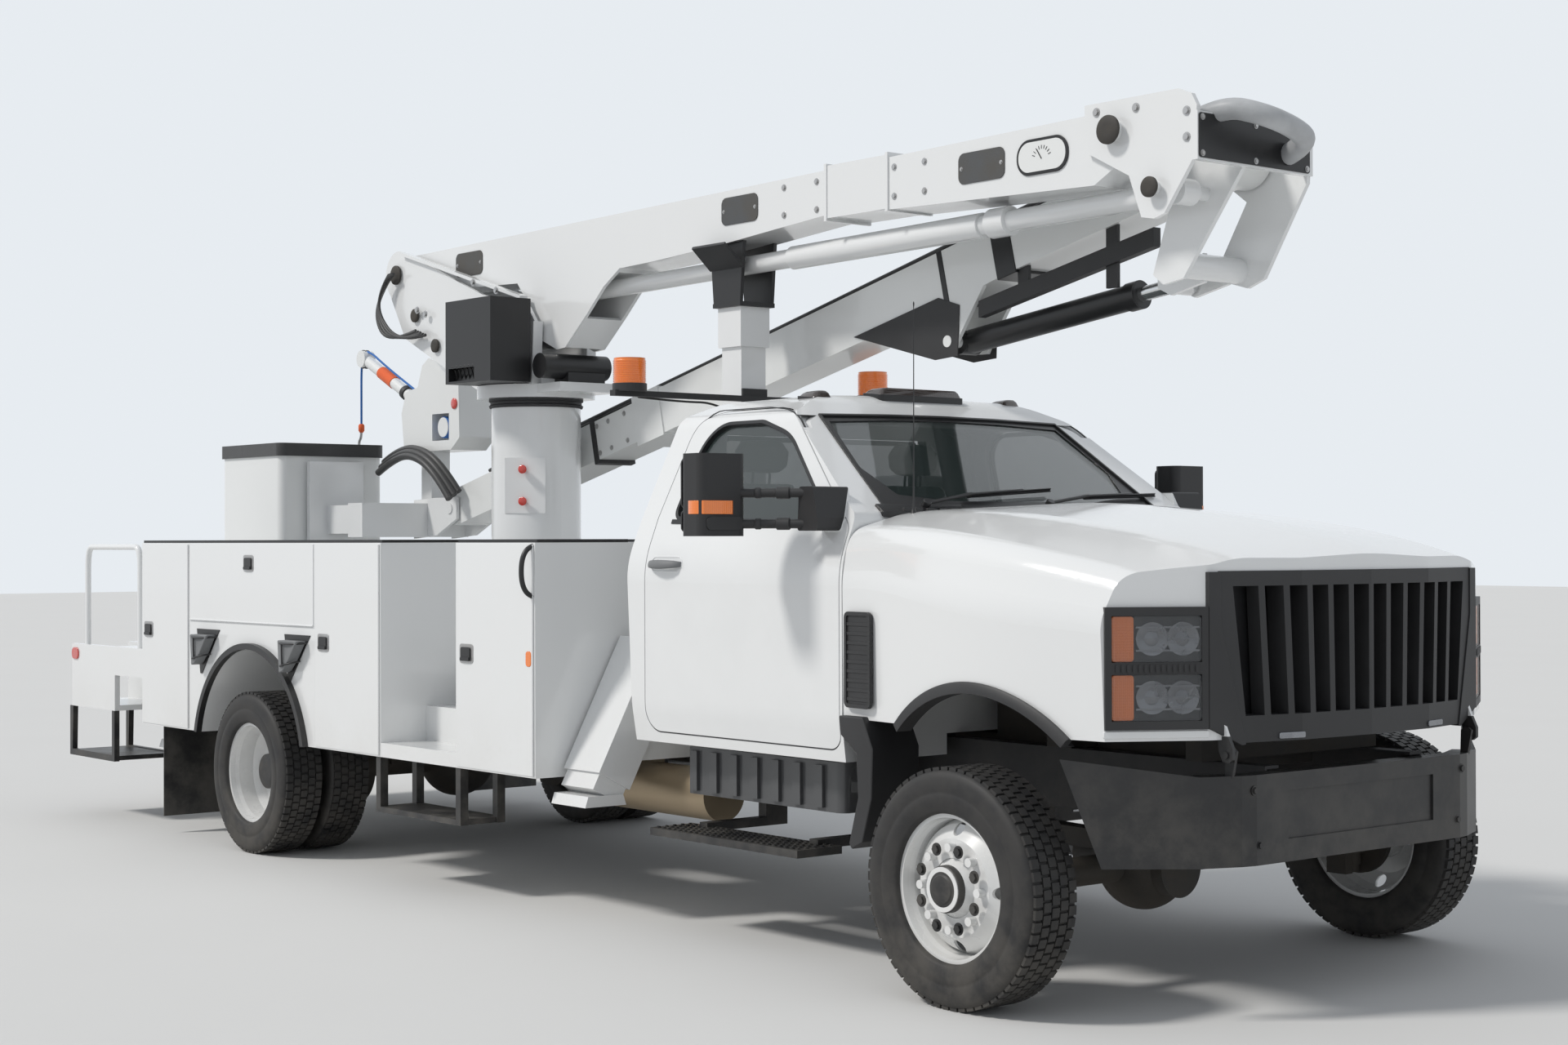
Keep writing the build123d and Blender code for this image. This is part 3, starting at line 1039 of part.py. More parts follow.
def rest_saddle():
    """Black saddle on the post: two ears under the boom's sides, flared at their tops."""
    low = 2620.3
    base = block(-2720, -2520, -100, 100, low, low + 20)
    solids = []
    for side in (-1, 1):
        ear = side_cut([(-2715, low), (-2525, low), (-2500, boom_bottom(-2500) - FIT), (-2650, boom_bottom(-2650) - FIT),
                        (-2740, boom_bottom(-2740) - FIT)], side * 80, side * 98)
        flare = front_cut([(side * 96, 2790), (side * 100, 2790), (side * 205, 2885), (side * 200, 2895), (side * 96, 2810)], -2740, -2500)
        solids += [ear, flare]
    return fuse(base, *solids)


# Bucket end

MOUNT_Y = (BUCKET_RIGHT + BUCKET_LEFT) / 2


def bucket_mount():
    """Levelled bracket at the boom's tip: clevis, cross beam, bucket plate and the winch's post."""
    clevis = []
    for y0, y1 in ((UPPER_IN - 24, UPPER_IN - 4), (UPPER_OUT + 4, UPPER_OUT + 24)):
        line = [(UPPER_TIP[0] + 70, UPPER_TIP[1] + 60), (UPPER_TIP[0] + 70, UPPER_TIP[1] - 60), (-5700, 1600), (-5950, 1580), (-5950, 1800), (-5720, 1810)]
        clevis.append(side_cut(line, y0, y1))
    beam = block(-5960, -5800, MOUNT_Y - 60, UPPER_OUT + 24, 1590, 1780)
    plate = block(-6235, -6200, MOUNT_Y - 170, MOUNT_Y + 170, 1350, 2020)
    neck = block(-6205, -5950, MOUNT_Y - 60, MOUNT_Y + 90, 1610, 1770)
    post = block(-5930, -5820, 270, 390, 1770, 2075 - SEAT_GAP)
    pin = cross_rod(UPPER_TIP, UPPER_IN - 30, UPPER_OUT + 30, 30)
    return fuse(beam, *clevis, plate, neck, post, pin)


def bucket():
    """Open fibreglass bucket with a rolled rim, and the hose locker on its rear wall."""
    outer = plan_cut([(BUCKET_REAR, BUCKET_RIGHT), (BUCKET_FRONT, BUCKET_RIGHT), (BUCKET_FRONT, BUCKET_LEFT), (BUCKET_REAR, BUCKET_LEFT)], BUCKET_LOW, BUCKET_TOP, 45)
    inner = plan_cut([(BUCKET_REAR + BUCKET_WALL, BUCKET_RIGHT + BUCKET_WALL), (BUCKET_FRONT - BUCKET_WALL, BUCKET_RIGHT + BUCKET_WALL),
                      (BUCKET_FRONT - BUCKET_WALL, BUCKET_LEFT - BUCKET_WALL), (BUCKET_REAR + BUCKET_WALL, BUCKET_LEFT - BUCKET_WALL)],
                     BUCKET_LOW + BUCKET_WALL, BUCKET_TOP + 10, 35)
    pads = block(BUCKET_FRONT - 5, -6235.3, MOUNT_Y - 150, MOUNT_Y + 150, 1380, 1990)
    locker = block(BUCKET_REAR - 150, BUCKET_REAR - 14, -190, 190, BUCKET_LOW + 60, BUCKET_TOP + 20)
    back = block(BUCKET_REAR - 15, BUCKET_REAR - SEAT_GAP, -170, 170, BUCKET_LOW + 70, BUCKET_TOP - 60)
    return [fuse(outer - inner, pads - inner), fuse(locker, back)]


def bucket_cover():
    """Soft cover stretched over the rim."""
    line = [(BUCKET_REAR - 12, BUCKET_RIGHT - 12), (BUCKET_FRONT + 12, BUCKET_RIGHT - 12), (BUCKET_FRONT + 12, BUCKET_LEFT + 12), (BUCKET_REAR - 12, BUCKET_LEFT + 12)]
    top = plan_cut(line, BUCKET_TOP - 45, BUCKET_TOP + 28, 50)
    hole = plan_cut([(x + (1 if x < -6500 else -1) * 11.5, y + (1 if y < 0 else -1) * 11.5) for x, y in line], BUCKET_TOP - 60, BUCKET_TOP + 0.3, 45)
    return top - hole


WINCH_Y = (215, 445)


def winch():
    """Winch in its moulded housing on the bracket's post, with the window for its drum."""
    line = [(-6060, 2300), (-6010, 2420), (-5880, 2440), (-5830, 2560), (-5760, 2600), (-5690, 2580), (-5560, 2490), (-5440, 2460), (-5430, 2140), (-5520, 2075), (-6030, 2075)]
    body = side_cut(line, WINCH_Y[0], WINCH_Y[1], 18)
    window = side_cut([(-5720, 2130), (-5540, 2130), (-5540, 2280), (-5720, 2280)], WINCH_Y[0] - 5, WINCH_Y[0] + 90)
    drum = cross_rod((-5630, 2205), WINCH_Y[0] + 15, WINCH_Y[0] + 95, 55)
    ears = [side_cut([(-6000, 2320), (-6000, 2420), (-6110, 2400), (-6110, 2350)], y, y + 12) for y in (JIB_Y - 56, JIB_Y + 44)]
    pin = cross_rod(JIB_ROOT, JIB_Y - 64, JIB_Y + 64, 14)
    return fuse(body - window, drum, *ears, pin)


JIB_ROOT = (-6090, 2378)
JIB_TIP = (-6680, 2655)
JIB_Y = 330


def jib():
    """Jib pole with its sheave head, pinned between the ears of the winch's housing."""
    start = along(JIB_ROOT, JIB_TIP, 0.03)
    pole = rod((start[0], JIB_Y, start[1]), (JIB_TIP[0], JIB_Y, JIB_TIP[1]), 34)
    eye = cross_rod(JIB_ROOT, JIB_Y - 38, JIB_Y + 38, 32)
    head = cross_rod(JIB_TIP, JIB_Y - 36, JIB_Y + 36, 50)
    return fuse(pole, eye, head) - cross_rod(JIB_ROOT, JIB_Y - 80, JIB_Y + 80, 14 + FIT)


BEACON_BAR_Z = 2190
BEACON_Y = 700


def beacons():
    """Two amber beacons on a bar across the boom rest's post."""
    face = POST_X + POST_HALF + SEAT_GAP
    bar = block(face, face + 40, -BEACON_Y - 90, BEACON_Y + 90, BEACON_BAR_Z, BEACON_BAR_Z + 25)
    clamp = block(face, face + 12, -POST_HALF, POST_HALF, BEACON_BAR_Z - 60, BEACON_BAR_Z + 60)
    lamps = []
    for side in (-1, 1):
        at = (face + 20, side * BEACON_Y)
        lamps.append(rod((*at, BEACON_BAR_Z + 20), (*at, BEACON_BAR_Z + 55), 75))
        lamps.append(rod((*at, BEACON_BAR_Z + 54), (*at, BEACON_BAR_Z + 165), 68))
    return fuse(bar, clamp, *lamps)


def main():
    os.makedirs("parts", exist_ok=True)
    save_wheels()
    save("front_axle", front_axle())
    save("rear_axle", rear_axle())
    save("knuckle_right", knuckle())
    save("knuckle_left", flip(knuckle()))
    save("frame", frame())
    save("engine", engine())
    save("underside", *driveline(), *tanks())
    shell, door = cab()
    save("cab_shell", shell)
    mirror = mirror_arm()
    save("door_right", door, mirror)
    save("door_left", flip(door), flip(mirror))
    save("cab_interior", *cab_interior())
    save("hood", hood())
    save("grille", grille())
    save("headlamps", *headlamps())
    save("bumper", bumper())
    save("steps", *steps())
    save("body_right", *pack_side(True))
    save("body_left", *[flip(tub) for tub in pack_side(False)])
    for name, right, left in zip(BAY_NAMES, bay_doors(True), bay_doors(False)):
        save("bay_door_" + name + "_right", right)
        save("bay_door_" + name + "_left", flip(left))
    guides = []
    places = (("front", LEG_TOP, FRONT_LEG_X, 690, 620), ("rear", REAR_LEG_TOP, REAR_LEG_X, 600, 490))
    for place, top, stations, foot_at, guide_len in places:
        guide, leg = outrigger(top, stations, foot_at, guide_len)
        guides += [guide, flip(guide)]
        save("outrigger_" + place + "_right", leg)
        save("outrigger_" + place + "_left", flip(leg))
    save("cargo_bed", cargo_bed(), *guides)
    save("body_trim", *pads_and_trim())
    save("boom_supports", *boom_supports())
    save("turntable", turntable())
    save("turret_gear", slew_gear(), control_box())
    save("lower_boom", lower_boom())
    save("level_link", level_link())
    barrel, shaft = ram(LIFT_BASE, LIFT_EYE, 58, 32, 890, 0, 25, 55)
    save("lift_ram", barrel)
    save("lift_rod", shaft)
    save("elbow", elbow())
    save("upper_boom", upper_boom())
    save("hose_tray", hose_tray())
    barrel, shaft = ram(RAM_BASE, RAM_EYE, 52, 30, 1000, 365, 25, 50)
    save("upper_ram", barrel)
    save("upper_rod", shaft)
    save("rest_saddle", rest_saddle())
    save("bucket_mount", bucket_mount())
    save("bucket", *bucket())
    save("bucket_cover", bucket_cover())
    save("winch", winch())
    save("jib", jib())
    save("beacons", beacons())
    print(len(made), "nodes")


main()
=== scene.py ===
# %% [markdown]
# A cherry picker truck, dressed for its picture
#
# The truck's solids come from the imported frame: a bonneted 4x4 truck with a steel service body and
# an articulated lift with a bucket. This lesson gives every solid its finish, and adds what the
# solids leave out: glass, seats, lamps, latches, tyre tread, bolts, hoses and the winch's rope.
# Lengths are metres.

# %% Load the frame
import math

import bmesh
import bpy
from mathutils import Matrix, Vector


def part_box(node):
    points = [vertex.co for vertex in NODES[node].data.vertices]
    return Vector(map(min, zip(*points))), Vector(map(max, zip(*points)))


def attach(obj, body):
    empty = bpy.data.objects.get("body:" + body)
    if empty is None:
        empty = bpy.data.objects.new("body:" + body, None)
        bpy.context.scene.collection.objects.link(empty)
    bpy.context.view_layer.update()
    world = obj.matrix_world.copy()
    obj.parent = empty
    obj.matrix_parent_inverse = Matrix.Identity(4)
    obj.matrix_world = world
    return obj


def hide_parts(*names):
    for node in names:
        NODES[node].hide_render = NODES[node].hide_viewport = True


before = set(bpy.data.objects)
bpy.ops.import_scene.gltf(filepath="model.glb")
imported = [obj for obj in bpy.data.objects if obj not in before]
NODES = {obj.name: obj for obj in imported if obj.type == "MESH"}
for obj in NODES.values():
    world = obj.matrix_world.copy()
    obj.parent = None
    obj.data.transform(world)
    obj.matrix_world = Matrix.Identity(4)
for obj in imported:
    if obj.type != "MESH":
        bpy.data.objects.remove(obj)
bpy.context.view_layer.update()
print("nodes in the frame:", len(NODES))

# %% [markdown]
# Stations
#
# A truck is drawn from its front axle: X forward, Y to the truck's left, Z up from the road. Every
# place below is given like that, and one function moves it to the frame, where the front wheel
# says where the axle is.

# %% The axle's place in the frame
wheel_low, wheel_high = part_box("front_wheel_right")
tyre_low, tyre_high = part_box("front_tyre_right")
rear_low, rear_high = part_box("rear_tyres_right")
AXLE_X = (wheel_low[0] + wheel_high[0]) / 2
AXLE_Z = (tyre_low[2] + tyre_high[2]) / 2
WHEELBASE = AXLE_X - (rear_low[0] + rear_high[0]) / 2
TYRE_R = (tyre_high[2] - tyre_low[2]) / 2


def in_frame(x, y, z):
    """A place counted from the front axle, as a point of the frame."""
    return Vector((x + AXLE_X, y, z))


print("front axle at", round(AXLE_X, 3), "wheelbase", round(WHEELBASE, 3), "tyre radius", round(TYRE_R, 4))

# %% [markdown]
# The camera
#
# The picture was taken by a standing person at the truck's right front corner. The camera's place
# and its focal length in pixels were solved from the wheels, the bumper's bolts and the
# windshield's corners, so the same values are typed here as real sizes.

# %% Camera
PHOTO_WIDTH = 1920
FOCAL_PX = 2843.0
SENSOR_MM = 36.0
EYE = in_frame(5.639, -6.534, 1.569)
YAW = math.radians(50.67)
PITCH = math.radians(0.427)
ROLL = math.radians(-0.143)


def aim_camera():
    """Put the camera at the photographer's eye, turned by yaw, pitch and roll."""
    look = Vector((-math.sin(YAW) * math.cos(PITCH), math.cos(YAW) * math.cos(PITCH), math.sin(PITCH)))
    level = Vector((math.cos(YAW), math.sin(YAW), 0.0))
    up = level.cross(look)
    right = math.cos(ROLL) * level + math.sin(ROLL) * up
    top = -math.sin(ROLL) * level + math.cos(ROLL) * up
    data = bpy.data.cameras.new("photo_camera")
    data.sensor_width = SENSOR_MM
    data.lens = SENSOR_MM * FOCAL_PX / PHOTO_WIDTH
    data.clip_end = 200.0
    camera = bpy.data.objects.new("photo_camera", data)
    turn = Matrix((right, top, -look)).transposed()
    camera.matrix_world = Matrix.Translation(EYE) @ turn.to_4x4()
    bpy.context.scene.collection.objects.link(camera)
    bpy.context.scene.camera = camera


aim_camera()

# %% [markdown]
# Shader sums
#
# A finish is easier to read as a formula than as a web of nodes. A Value wraps one socket, and
# adding or multiplying two of them adds the Math node. A Finish holds one material: its add method
# makes any other node, and its helpers give the noise and the bump that most surfaces need.

# %% Shader helpers
class Value:
    """One shader socket that can be used in sums."""

    def __init__(self, finish, socket):
        self.finish = finish
        self.socket = socket

    def math(self, operation, first, second):
        return self.finish.add("ShaderNodeMath", {"operation": operation}, [first, second])

    def __add__(self, other):
        return self.math("ADD", self, other)

    def __sub__(self, other):
        return self.math("SUBTRACT", self, other)

    def __rsub__(self, other):
        return self.math("SUBTRACT", other, self)

    def __mul__(self, other):
        return self.math("MULTIPLY", self, other)

    def __truediv__(self, other):
        return self.math("DIVIDE", self, other)

    def larger(self, other):
        return self.math("MAXIMUM", self, other)

    def above(self, edge, width):
        """0 below the edge and 1 above it, over a soft width."""
        settings = {"interpolation_type": "SMOOTHSTEP"}
        limits = {"Value": self, "From Min": edge - width / 2, "From Max": edge + width / 2}
        return self.finish.add("ShaderNodeMapRange", settings, limits)

    def below(self, edge, width):
        return 1.0 - self.above(edge, width)

    def wave(self):
        """Climbs and falls between 0 and 1 as the value runs on."""
        return self.math("PINGPONG", self, 1.0)

    def absolute(self):
        return self.math("ABSOLUTE", self, 0.0)

    __radd__ = __add__
    __rmul__ = __mul__


class Finish:
    """A material and the nodes that give its colour, gloss and bump."""

    def __init__(self, name, color, roughness, **sockets):
        self.material = bpy.data.materials.new(name)
        self.material.use_nodes = True
        self.tree = self.material.node_tree
        self.shader = self.tree.nodes["Principled BSDF"]
        self.color = (*color, 1.0)
        self.set("Base Color", self.color)
        self.set("Roughness", roughness)
        for socket, value in sockets.items():
            self.set(socket.replace("_", " "), value)
        self.material.diffuse_color = self.color

    def set(self, socket, value):
        self.feed(self.shader.inputs[socket], value)

    def feed(self, socket, value):
        if isinstance(value, Value):
            self.tree.links.new(value.socket, socket)
        else:
            socket.default_value = value

    def add(self, kind, settings=None, inputs=(), output=0):
        """Make a node: its settings first, then its inputs by name or in their order."""
        node = self.tree.nodes.new(kind)
        for name, value in (settings or {}).items():
            setattr(node, name, value)
        pairs = inputs.items() if isinstance(inputs, dict) else enumerate(inputs)
        for name, value in pairs:
            self.feed(node.inputs[name], value)
        return Value(self, node.outputs[output])

    def place(self):
        return self.add("ShaderNodeTexCoord", output="Object")

    def axes(self):
        """The X, Y and Z of a surface point, counted from the front axle."""
        node = self.tree.nodes.new("ShaderNodeSeparateXYZ")
        self.feed(node.inputs[0], self.place())
        x, y, z = (Value(self, node.outputs[k]) for k in range(3))
        return x - AXLE_X, y, z

    def noise(self, scale, detail=3.0, roughness=0.5, place=None):
        inputs = {"Vector": place or self.place(), "Scale": scale, "Detail": detail, "Roughness": roughness}
        return self.add("ShaderNodeTexNoise", None, inputs)

    def cells(self, scale, place=None):
        return self.add("ShaderNodeTexVoronoi", None, {"Vector": place or self.place(), "Scale": scale})

    def stretched(self, sizes):
        """Object places scaled by a factor for each axis, for streaks and brushed metal."""
        return self.add("ShaderNodeMapping", None, {"Vector": self.place(), "Scale": sizes})

    def blend(self, mask, first, second):
        """Mix two colours: the first where the mask is 0, the second where it is 1."""
        node = self.tree.nodes.new("ShaderNodeMix")
        node.data_type = "RGBA"
        node.clamp_factor = True
        for index, value in ((0, mask), (6, first), (7, second)):
            if not isinstance(value, Value) and index:
                value = (*value[:3], 1.0)
            self.feed(node.inputs[index], value)
        return Value(self, node.outputs[2])

    def bump(self, height, depth, strength=1.0):
        """Raise the surface by a height that runs from 0 to 1 over a depth in metres."""
        settings = {"Height": height, "Distance": depth, "Strength": strength}
        self.set("Normal", self.add("ShaderNodeBump", None, settings))


print("shader helpers ready")

# %% [markdown]
# White paint
#
# Cab, body and lift are sprayed gloss white: a clear, even coat that mirrors the sky softly. Up
# close such paint has a faint orange peel, and the road leaves a breath of dust on whatever is low.
# The dust is a noise that only counts below the sills, so height drives it.

# %% White paints
WHITE = (0.80, 0.81, 0.81)
ROAD_DUST = (0.52, 0.49, 0.44)


def dusty_white(name, color, roughness, peel):
    """Gloss white with road dust low down, faint grime and an orange-peel bump."""
    paint = Finish(name, color, roughness, Coat_Weight=0.55, Coat_Roughness=0.06, Specular_IOR_Level=0.5)
    x, y, height = paint.axes()
    low = height.below(0.62, 0.9)
    patches = paint.noise(2.3, 5.0, 0.6)
    fine = paint.noise(38.0, 4.0, 0.6)
    dust = low * patches.above(0.46, 0.5) * 0.34 + low * fine.above(0.62, 0.2) * 0.08
    cloud = paint.noise(0.9, 2.0).above(0.55, 0.6) * 0.05
    washed = paint.blend(cloud, color, (0.72, 0.73, 0.73))
    paint.set("Base Color", paint.blend(dust, washed, ROAD_DUST))
    paint.set("Roughness", roughness + dust * 0.5 + fine * 0.03)
    paint.bump(paint.noise(420.0, 2.0), peel, 0.25)
    return paint


white_paint = dusty_white("white_paint", WHITE, 0.16, 0.0006)
white_gelcoat = dusty_white("white_gelcoat", (0.79, 0.80, 0.79), 0.28, 0.0005)
print("white paints made")

# %% [markdown]
# Black finishes
#
# The grille, mirrors and arch fairings are moulded plastic with a fine leather-like grain, which
# small cells of a Voronoi pattern give. The bumper and the steps are powder-coated steel: smoother,
# with a tight speckle, and grey with dust low down.

# %% Black finishes
def grained_black(name, color, grain, depth, gloss):
    """Moulded black plastic: cells for the grain, paler where dust sits in it."""
    plastic = Finish(name, color, gloss, Specular_IOR_Level=0.45)
    grains = plastic.cells(grain)
    worn = plastic.noise(3.0, 4.0).above(0.55, 0.5) * 0.35
    pale = tuple(channel * 2.2 + 0.012 for channel in color)
    plastic.set("Base Color", plastic.blend(worn, color, pale))
    plastic.set("Roughness", gloss + worn * 0.25)
    plastic.bump(grains, depth, 0.5)
    return plastic


def powder_black(name, color, gloss):
    """Powder coat on steel: a tight speckle in the gloss and dust from the road."""
    coat = Finish(name, color, gloss, Specular_IOR_Level=0.5)
    x, y, height = coat.axes()
    speckle = coat.noise(600.0, 2.0)
    dust = height.below(0.7, 0.9) * coat.noise(5.0, 6.0, 0.65).above(0.52, 0.3) * 0.3
    coat.set("Base Color", coat.blend(dust, color, (0.20, 0.185, 0.16)))
    coat.set("Roughness", gloss + speckle * 0.08 + dust * 0.5)
    coat.bump(speckle, 0.0004, 0.35)
    return coat


black_plastic = grained_black("black_plastic", (0.022, 0.022, 0.023), 900.0, 0.0004, 0.48)
smooth_black = grained_black("smooth_black", (0.012, 0.012, 0.013), 1500.0, 0.0001, 0.30)
black_coat = powder_black("black_coat", (0.016, 0.016, 0.017), 0.34)
frame_coat = powder_black("frame_coat", (0.030, 0.030, 0.032), 0.55)
grey_plastic = grained_black("grey_plastic", (0.17, 0.175, 0.18), 700.0, 0.0004, 0.55)
print("black finishes made")

# %% [markdown]
# Rubber, bare metal and cast iron
#
# Tyre rubber is nearly black on the sides and browner where it meets the road, which its height
# tells. Springs, axles and shafts are dark metal with oily patches. The can under
# the cab is heat-coloured steel, and ram rods are hard chrome.

# %% Rubber and metals
def tyre_rubber_finish():
    rubber = Finish("tyre_rubber", (0.020, 0.020, 0.021), 0.62, Specular_IOR_Level=0.35)
    x, y, height = rubber.axes()
    patches = rubber.noise(9.0, 5.0, 0.6)
    low = height.below(0.30, 0.5)
    dust = (low * 0.35 + 0.16) * patches.above(0.45, 0.4)
    rubber.set("Base Color", rubber.blend(dust, (0.020, 0.020, 0.021), (0.13, 0.12, 0.105)))
    rubber.set("Roughness", 0.55 + dust * 0.4)
    rubber.bump(rubber.noise(260.0, 3.0), 0.0006, 0.3)
    return rubber


def metal_finish(name, color, roughness, stain, amount, metallic=0.9):
    """Metal with stains where a slow noise rises, and fine scratches in its gloss."""
    metal = Finish(name, color, roughness, Metallic=metallic)
    stains = metal.noise(6.0, 6.0, 0.65).above(0.52, 0.35) * amount
    scratches = metal.noise(1.0, 3.0, 0.6, metal.stretched((40.0, 420.0, 420.0)))
    metal.set("Base Color", metal.blend(stains, color, stain))
    metal.set("Metallic", metallic - stains * 0.6)
    metal.set("Roughness", roughness + stains * 0.3 + scratches * 0.06)
    metal.bump(scratches, 0.0003, 0.3)
    return metal


def cast_finish(name, color, roughness):
    """Rough dark casting with oil and dust."""
    iron = Finish(name, color, roughness, Metallic=0.25)
    grain = iron.noise(180.0, 4.0, 0.6)
    grime = iron.noise(4.0, 5.0, 0.6).above(0.5, 0.4) * 0.5
    iron.set("Base Color", iron.blend(grime, color, (0.10, 0.085, 0.065)))
    iron.set("Roughness", roughness + grime * 0.25)
    iron.bump(grain, 0.0015, 0.4)
    return iron


tyre_rubber = tyre_rubber_finish()
chrome = metal_finish("ram_chrome", (0.72, 0.73, 0.74), 0.10, (0.35, 0.33, 0.30), 0.15, 1.0)
bare_steel = metal_finish("bare_steel", (0.50, 0.50, 0.50), 0.32, (0.22, 0.19, 0.16), 0.3)
cast_iron = cast_finish("cast_iron", (0.040, 0.038, 0.036), 0.62)
tank_guard = cast_finish("tank_guard", (0.085, 0.090, 0.095), 0.58)
print("rubber and metals made")

# %% [markdown]
# Glass and lamp lenses
#
# The cab's glass is lightly tinted and lets the seats show through. A thin pane needs no
# refraction, so alpha lets the inside through and the shader keeps its clear gloss. Lenses are
# tinted plastic with the small prisms that spread a lamp's light, which a regular wave gives. The
# coloured ones also get a painted glow of their own colour, though no lamp is lit.

# %% Glass and lenses
def pane_glass(name, tint, alpha):
    glass = Finish(name, tint, 0.03, IOR=1.5, Alpha=alpha, Specular_IOR_Level=0.9, Coat_Weight=1.0)
    haze = glass.noise(3.0, 4.0).above(0.58, 0.3) * 0.04
    glass.set("Roughness", haze + 0.02)
    return glass


def lens(name, tint, painted_glow, ribs, alpha=1.0):
    """A moulded lens: fine upright prisms, a little of its own colour as painted glow."""
    plastic = Finish(name, tint, 0.10, Coat_Weight=1.0, Coat_Roughness=0.03, Alpha=alpha)
    # Painted glow: the emission lights the lens though no lamp is lit, and the red knobs and the winch's
    # button, which use this lens, glow with it too.
    plastic.set("Emission Color", (*tint, 1.0))
    plastic.set("Emission Strength", painted_glow)
    x, y, height = plastic.axes()
    prisms = ((x + y) * ribs).wave()
    steps = (height * ribs).wave()
    plastic.set("Base Color", plastic.blend(prisms * 0.30, tint, tuple(channel * 0.45 for channel in tint)))
    plastic.bump(prisms + steps * 0.5, 0.0012, 0.5)
    return plastic


cab_glass = pane_glass("cab_glass", (0.035, 0.050, 0.048), 0.50)
smoked_lens = lens("smoked_lens", (0.045, 0.030, 0.025), 0.0, 260.0)
amber_lens = lens("amber_lens", (0.85, 0.20, 0.015), 0.12, 220.0)
red_lens = lens("red_lens", (0.62, 0.035, 0.02), 0.05, 260.0)
clear_lens = pane_glass("clear_lens", (0.10, 0.11, 0.12), 0.22)
lamp_silver = metal_finish("lamp_silver", (0.30, 0.31, 0.33), 0.16, (0.10, 0.10, 0.11), 0.5, 1.0)
print("glass and lenses made")

# %% [markdown]
# Cloth, covers and rope
#
# Seats are woven grey cloth: two crossed waves make the threads. The bucket's cover is black coated
# fabric, soft and slightly glossy with fine creases. The rope and the jib's band share the weave, and
# the hoses share the coated fabric's grain.

# %% Cloth and covers
def woven(name, color, threads, depth, sheen):
    cloth = Finish(name, color, 0.86, Sheen_Weight=sheen, Sheen_Roughness=0.5)
    x, y, height = cloth.axes()
    warp = ((x + y) * threads).wave()
    weft = ((height + y * 0.5) * threads).wave()
    fade = cloth.noise(7.0, 4.0).above(0.5, 0.6) * 0.3
    pale = tuple(min(channel * 1.5 + 0.02, 1.0) for channel in color)
    cloth.set("Base Color", cloth.blend(fade + warp * 0.12, color, pale))
    cloth.set("Roughness", 0.80 + warp * 0.1)
    cloth.bump(warp * weft, depth, 0.6)
    return cloth


def coated_fabric(name, color, gloss):
    vinyl = Finish(name, color, gloss, Sheen_Weight=0.1, Coat_Weight=0.25, Coat_Roughness=0.35)
    creases = vinyl.noise(14.0, 6.0, 0.62)
    grain = vinyl.cells(700.0)
    dust = vinyl.noise(5.0, 4.0).above(0.52, 0.4) * 0.3
    pale = tuple(channel * 2.6 + 0.02 for channel in color)
    vinyl.set("Base Color", vinyl.blend(dust, color, pale))
    vinyl.set("Roughness", gloss + dust * 0.3)
    vinyl.bump(creases + grain * 0.15, 0.006, 0.5)
    return vinyl


seat_cloth = woven("seat_cloth", (0.16, 0.16, 0.165), 900.0, 0.0006, 0.4)
cover_fabric = coated_fabric("cover_fabric", (0.018, 0.018, 0.019), 0.42)
grey_cover = coated_fabric("grey_cover", (0.34, 0.35, 0.36), 0.6)
hose_rubber = coated_fabric("hose_rubber", (0.016, 0.016, 0.016), 0.5)
blue_rope = woven("blue_rope", (0.02, 0.13, 0.42), 700.0, 0.0008, 0.2)
orange_band = woven("orange_band", (0.75, 0.12, 0.03), 400.0, 0.0005, 0.1)
print("cloth and covers made")

# %% [markdown]
# Solids that hold more than one finish
#
# A mirror is part of its door's solid, and the exhaust can shares a node with the shafts. Their
# meshes aren't cut: one material reads where a point lies and picks the paint for it, with a mask
# for each rule, such as everything that stands further out than the door's skin.

# %% Finishes that change over a solid
def two_paints(name, first, second, mask_of, gloss=(0.2, 0.5), metallic=(0.0, 0.0)):
    """One finish where mask_of(x, y, z) is 0 and another where it is 1."""
    paint = Finish(name, first, gloss[0])
    mask = mask_of(*paint.axes())
    fine = paint.noise(420.0, 2.0)
    patches = paint.noise(4.0, 4.0).above(0.5, 0.5) * 0.12
    shaded = tuple(channel * 0.75 for channel in first)
    paint.set("Base Color", paint.blend(mask, paint.blend(patches, first, shaded), second))
    paint.set("Roughness", mask * (gloss[1] - gloss[0]) + gloss[0] + fine * 0.04)
    paint.set("Metallic", mask * (metallic[1] - metallic[0]) + metallic[0])
    paint.set("Coat Weight", (1.0 - mask) * 0.5)
    paint.bump(fine, 0.0005, 0.3)
    return paint


BLACK = (0.018, 0.018, 0.019)
AMBER = (0.85, 0.20, 0.015)


def beyond_door(x, y, z):
    """1 on the mirror and its arms, 0 on the door's skin."""
    leaning = (y.absolute() + (z - 1.480) * 0.3908).above(1.010, 0.002) * z.above(1.560, 0.002)
    return leaning.larger(y.absolute().above(1.010, 0.002) * z.below(1.561, 0.002))


def under_lamps(x, y, z):
    """1 on the beacons' bar and bases, 0 on their lenses."""
    return z.below(2.246, 0.002).larger(y.absolute().below(0.55, 0.002))


def on_shafts(x, y, z):
    """1 on the heated can, 0 on shafts and guard."""
    return (x.below(-1.985, 0.004) * y.below(-0.45, 0.01))


door_paint = two_paints("door_paint", WHITE, BLACK, beyond_door, (0.17, 0.5))
beacon_paint = two_paints("beacon_paint", AMBER, BLACK, under_lamps, (0.12, 0.45))
under_paint = two_paints("under_paint", (0.07, 0.072, 0.075), (0.40, 0.32, 0.22), on_shafts, (0.5, 0.42),
                         (0.1, 0.8))
print("mixed finishes made")

# %% [markdown]
# Dressing the solids
#
# Each node of the frame gets its finish by name. A table says it once, and one loop assigns it to
# every slot of the node's mesh.

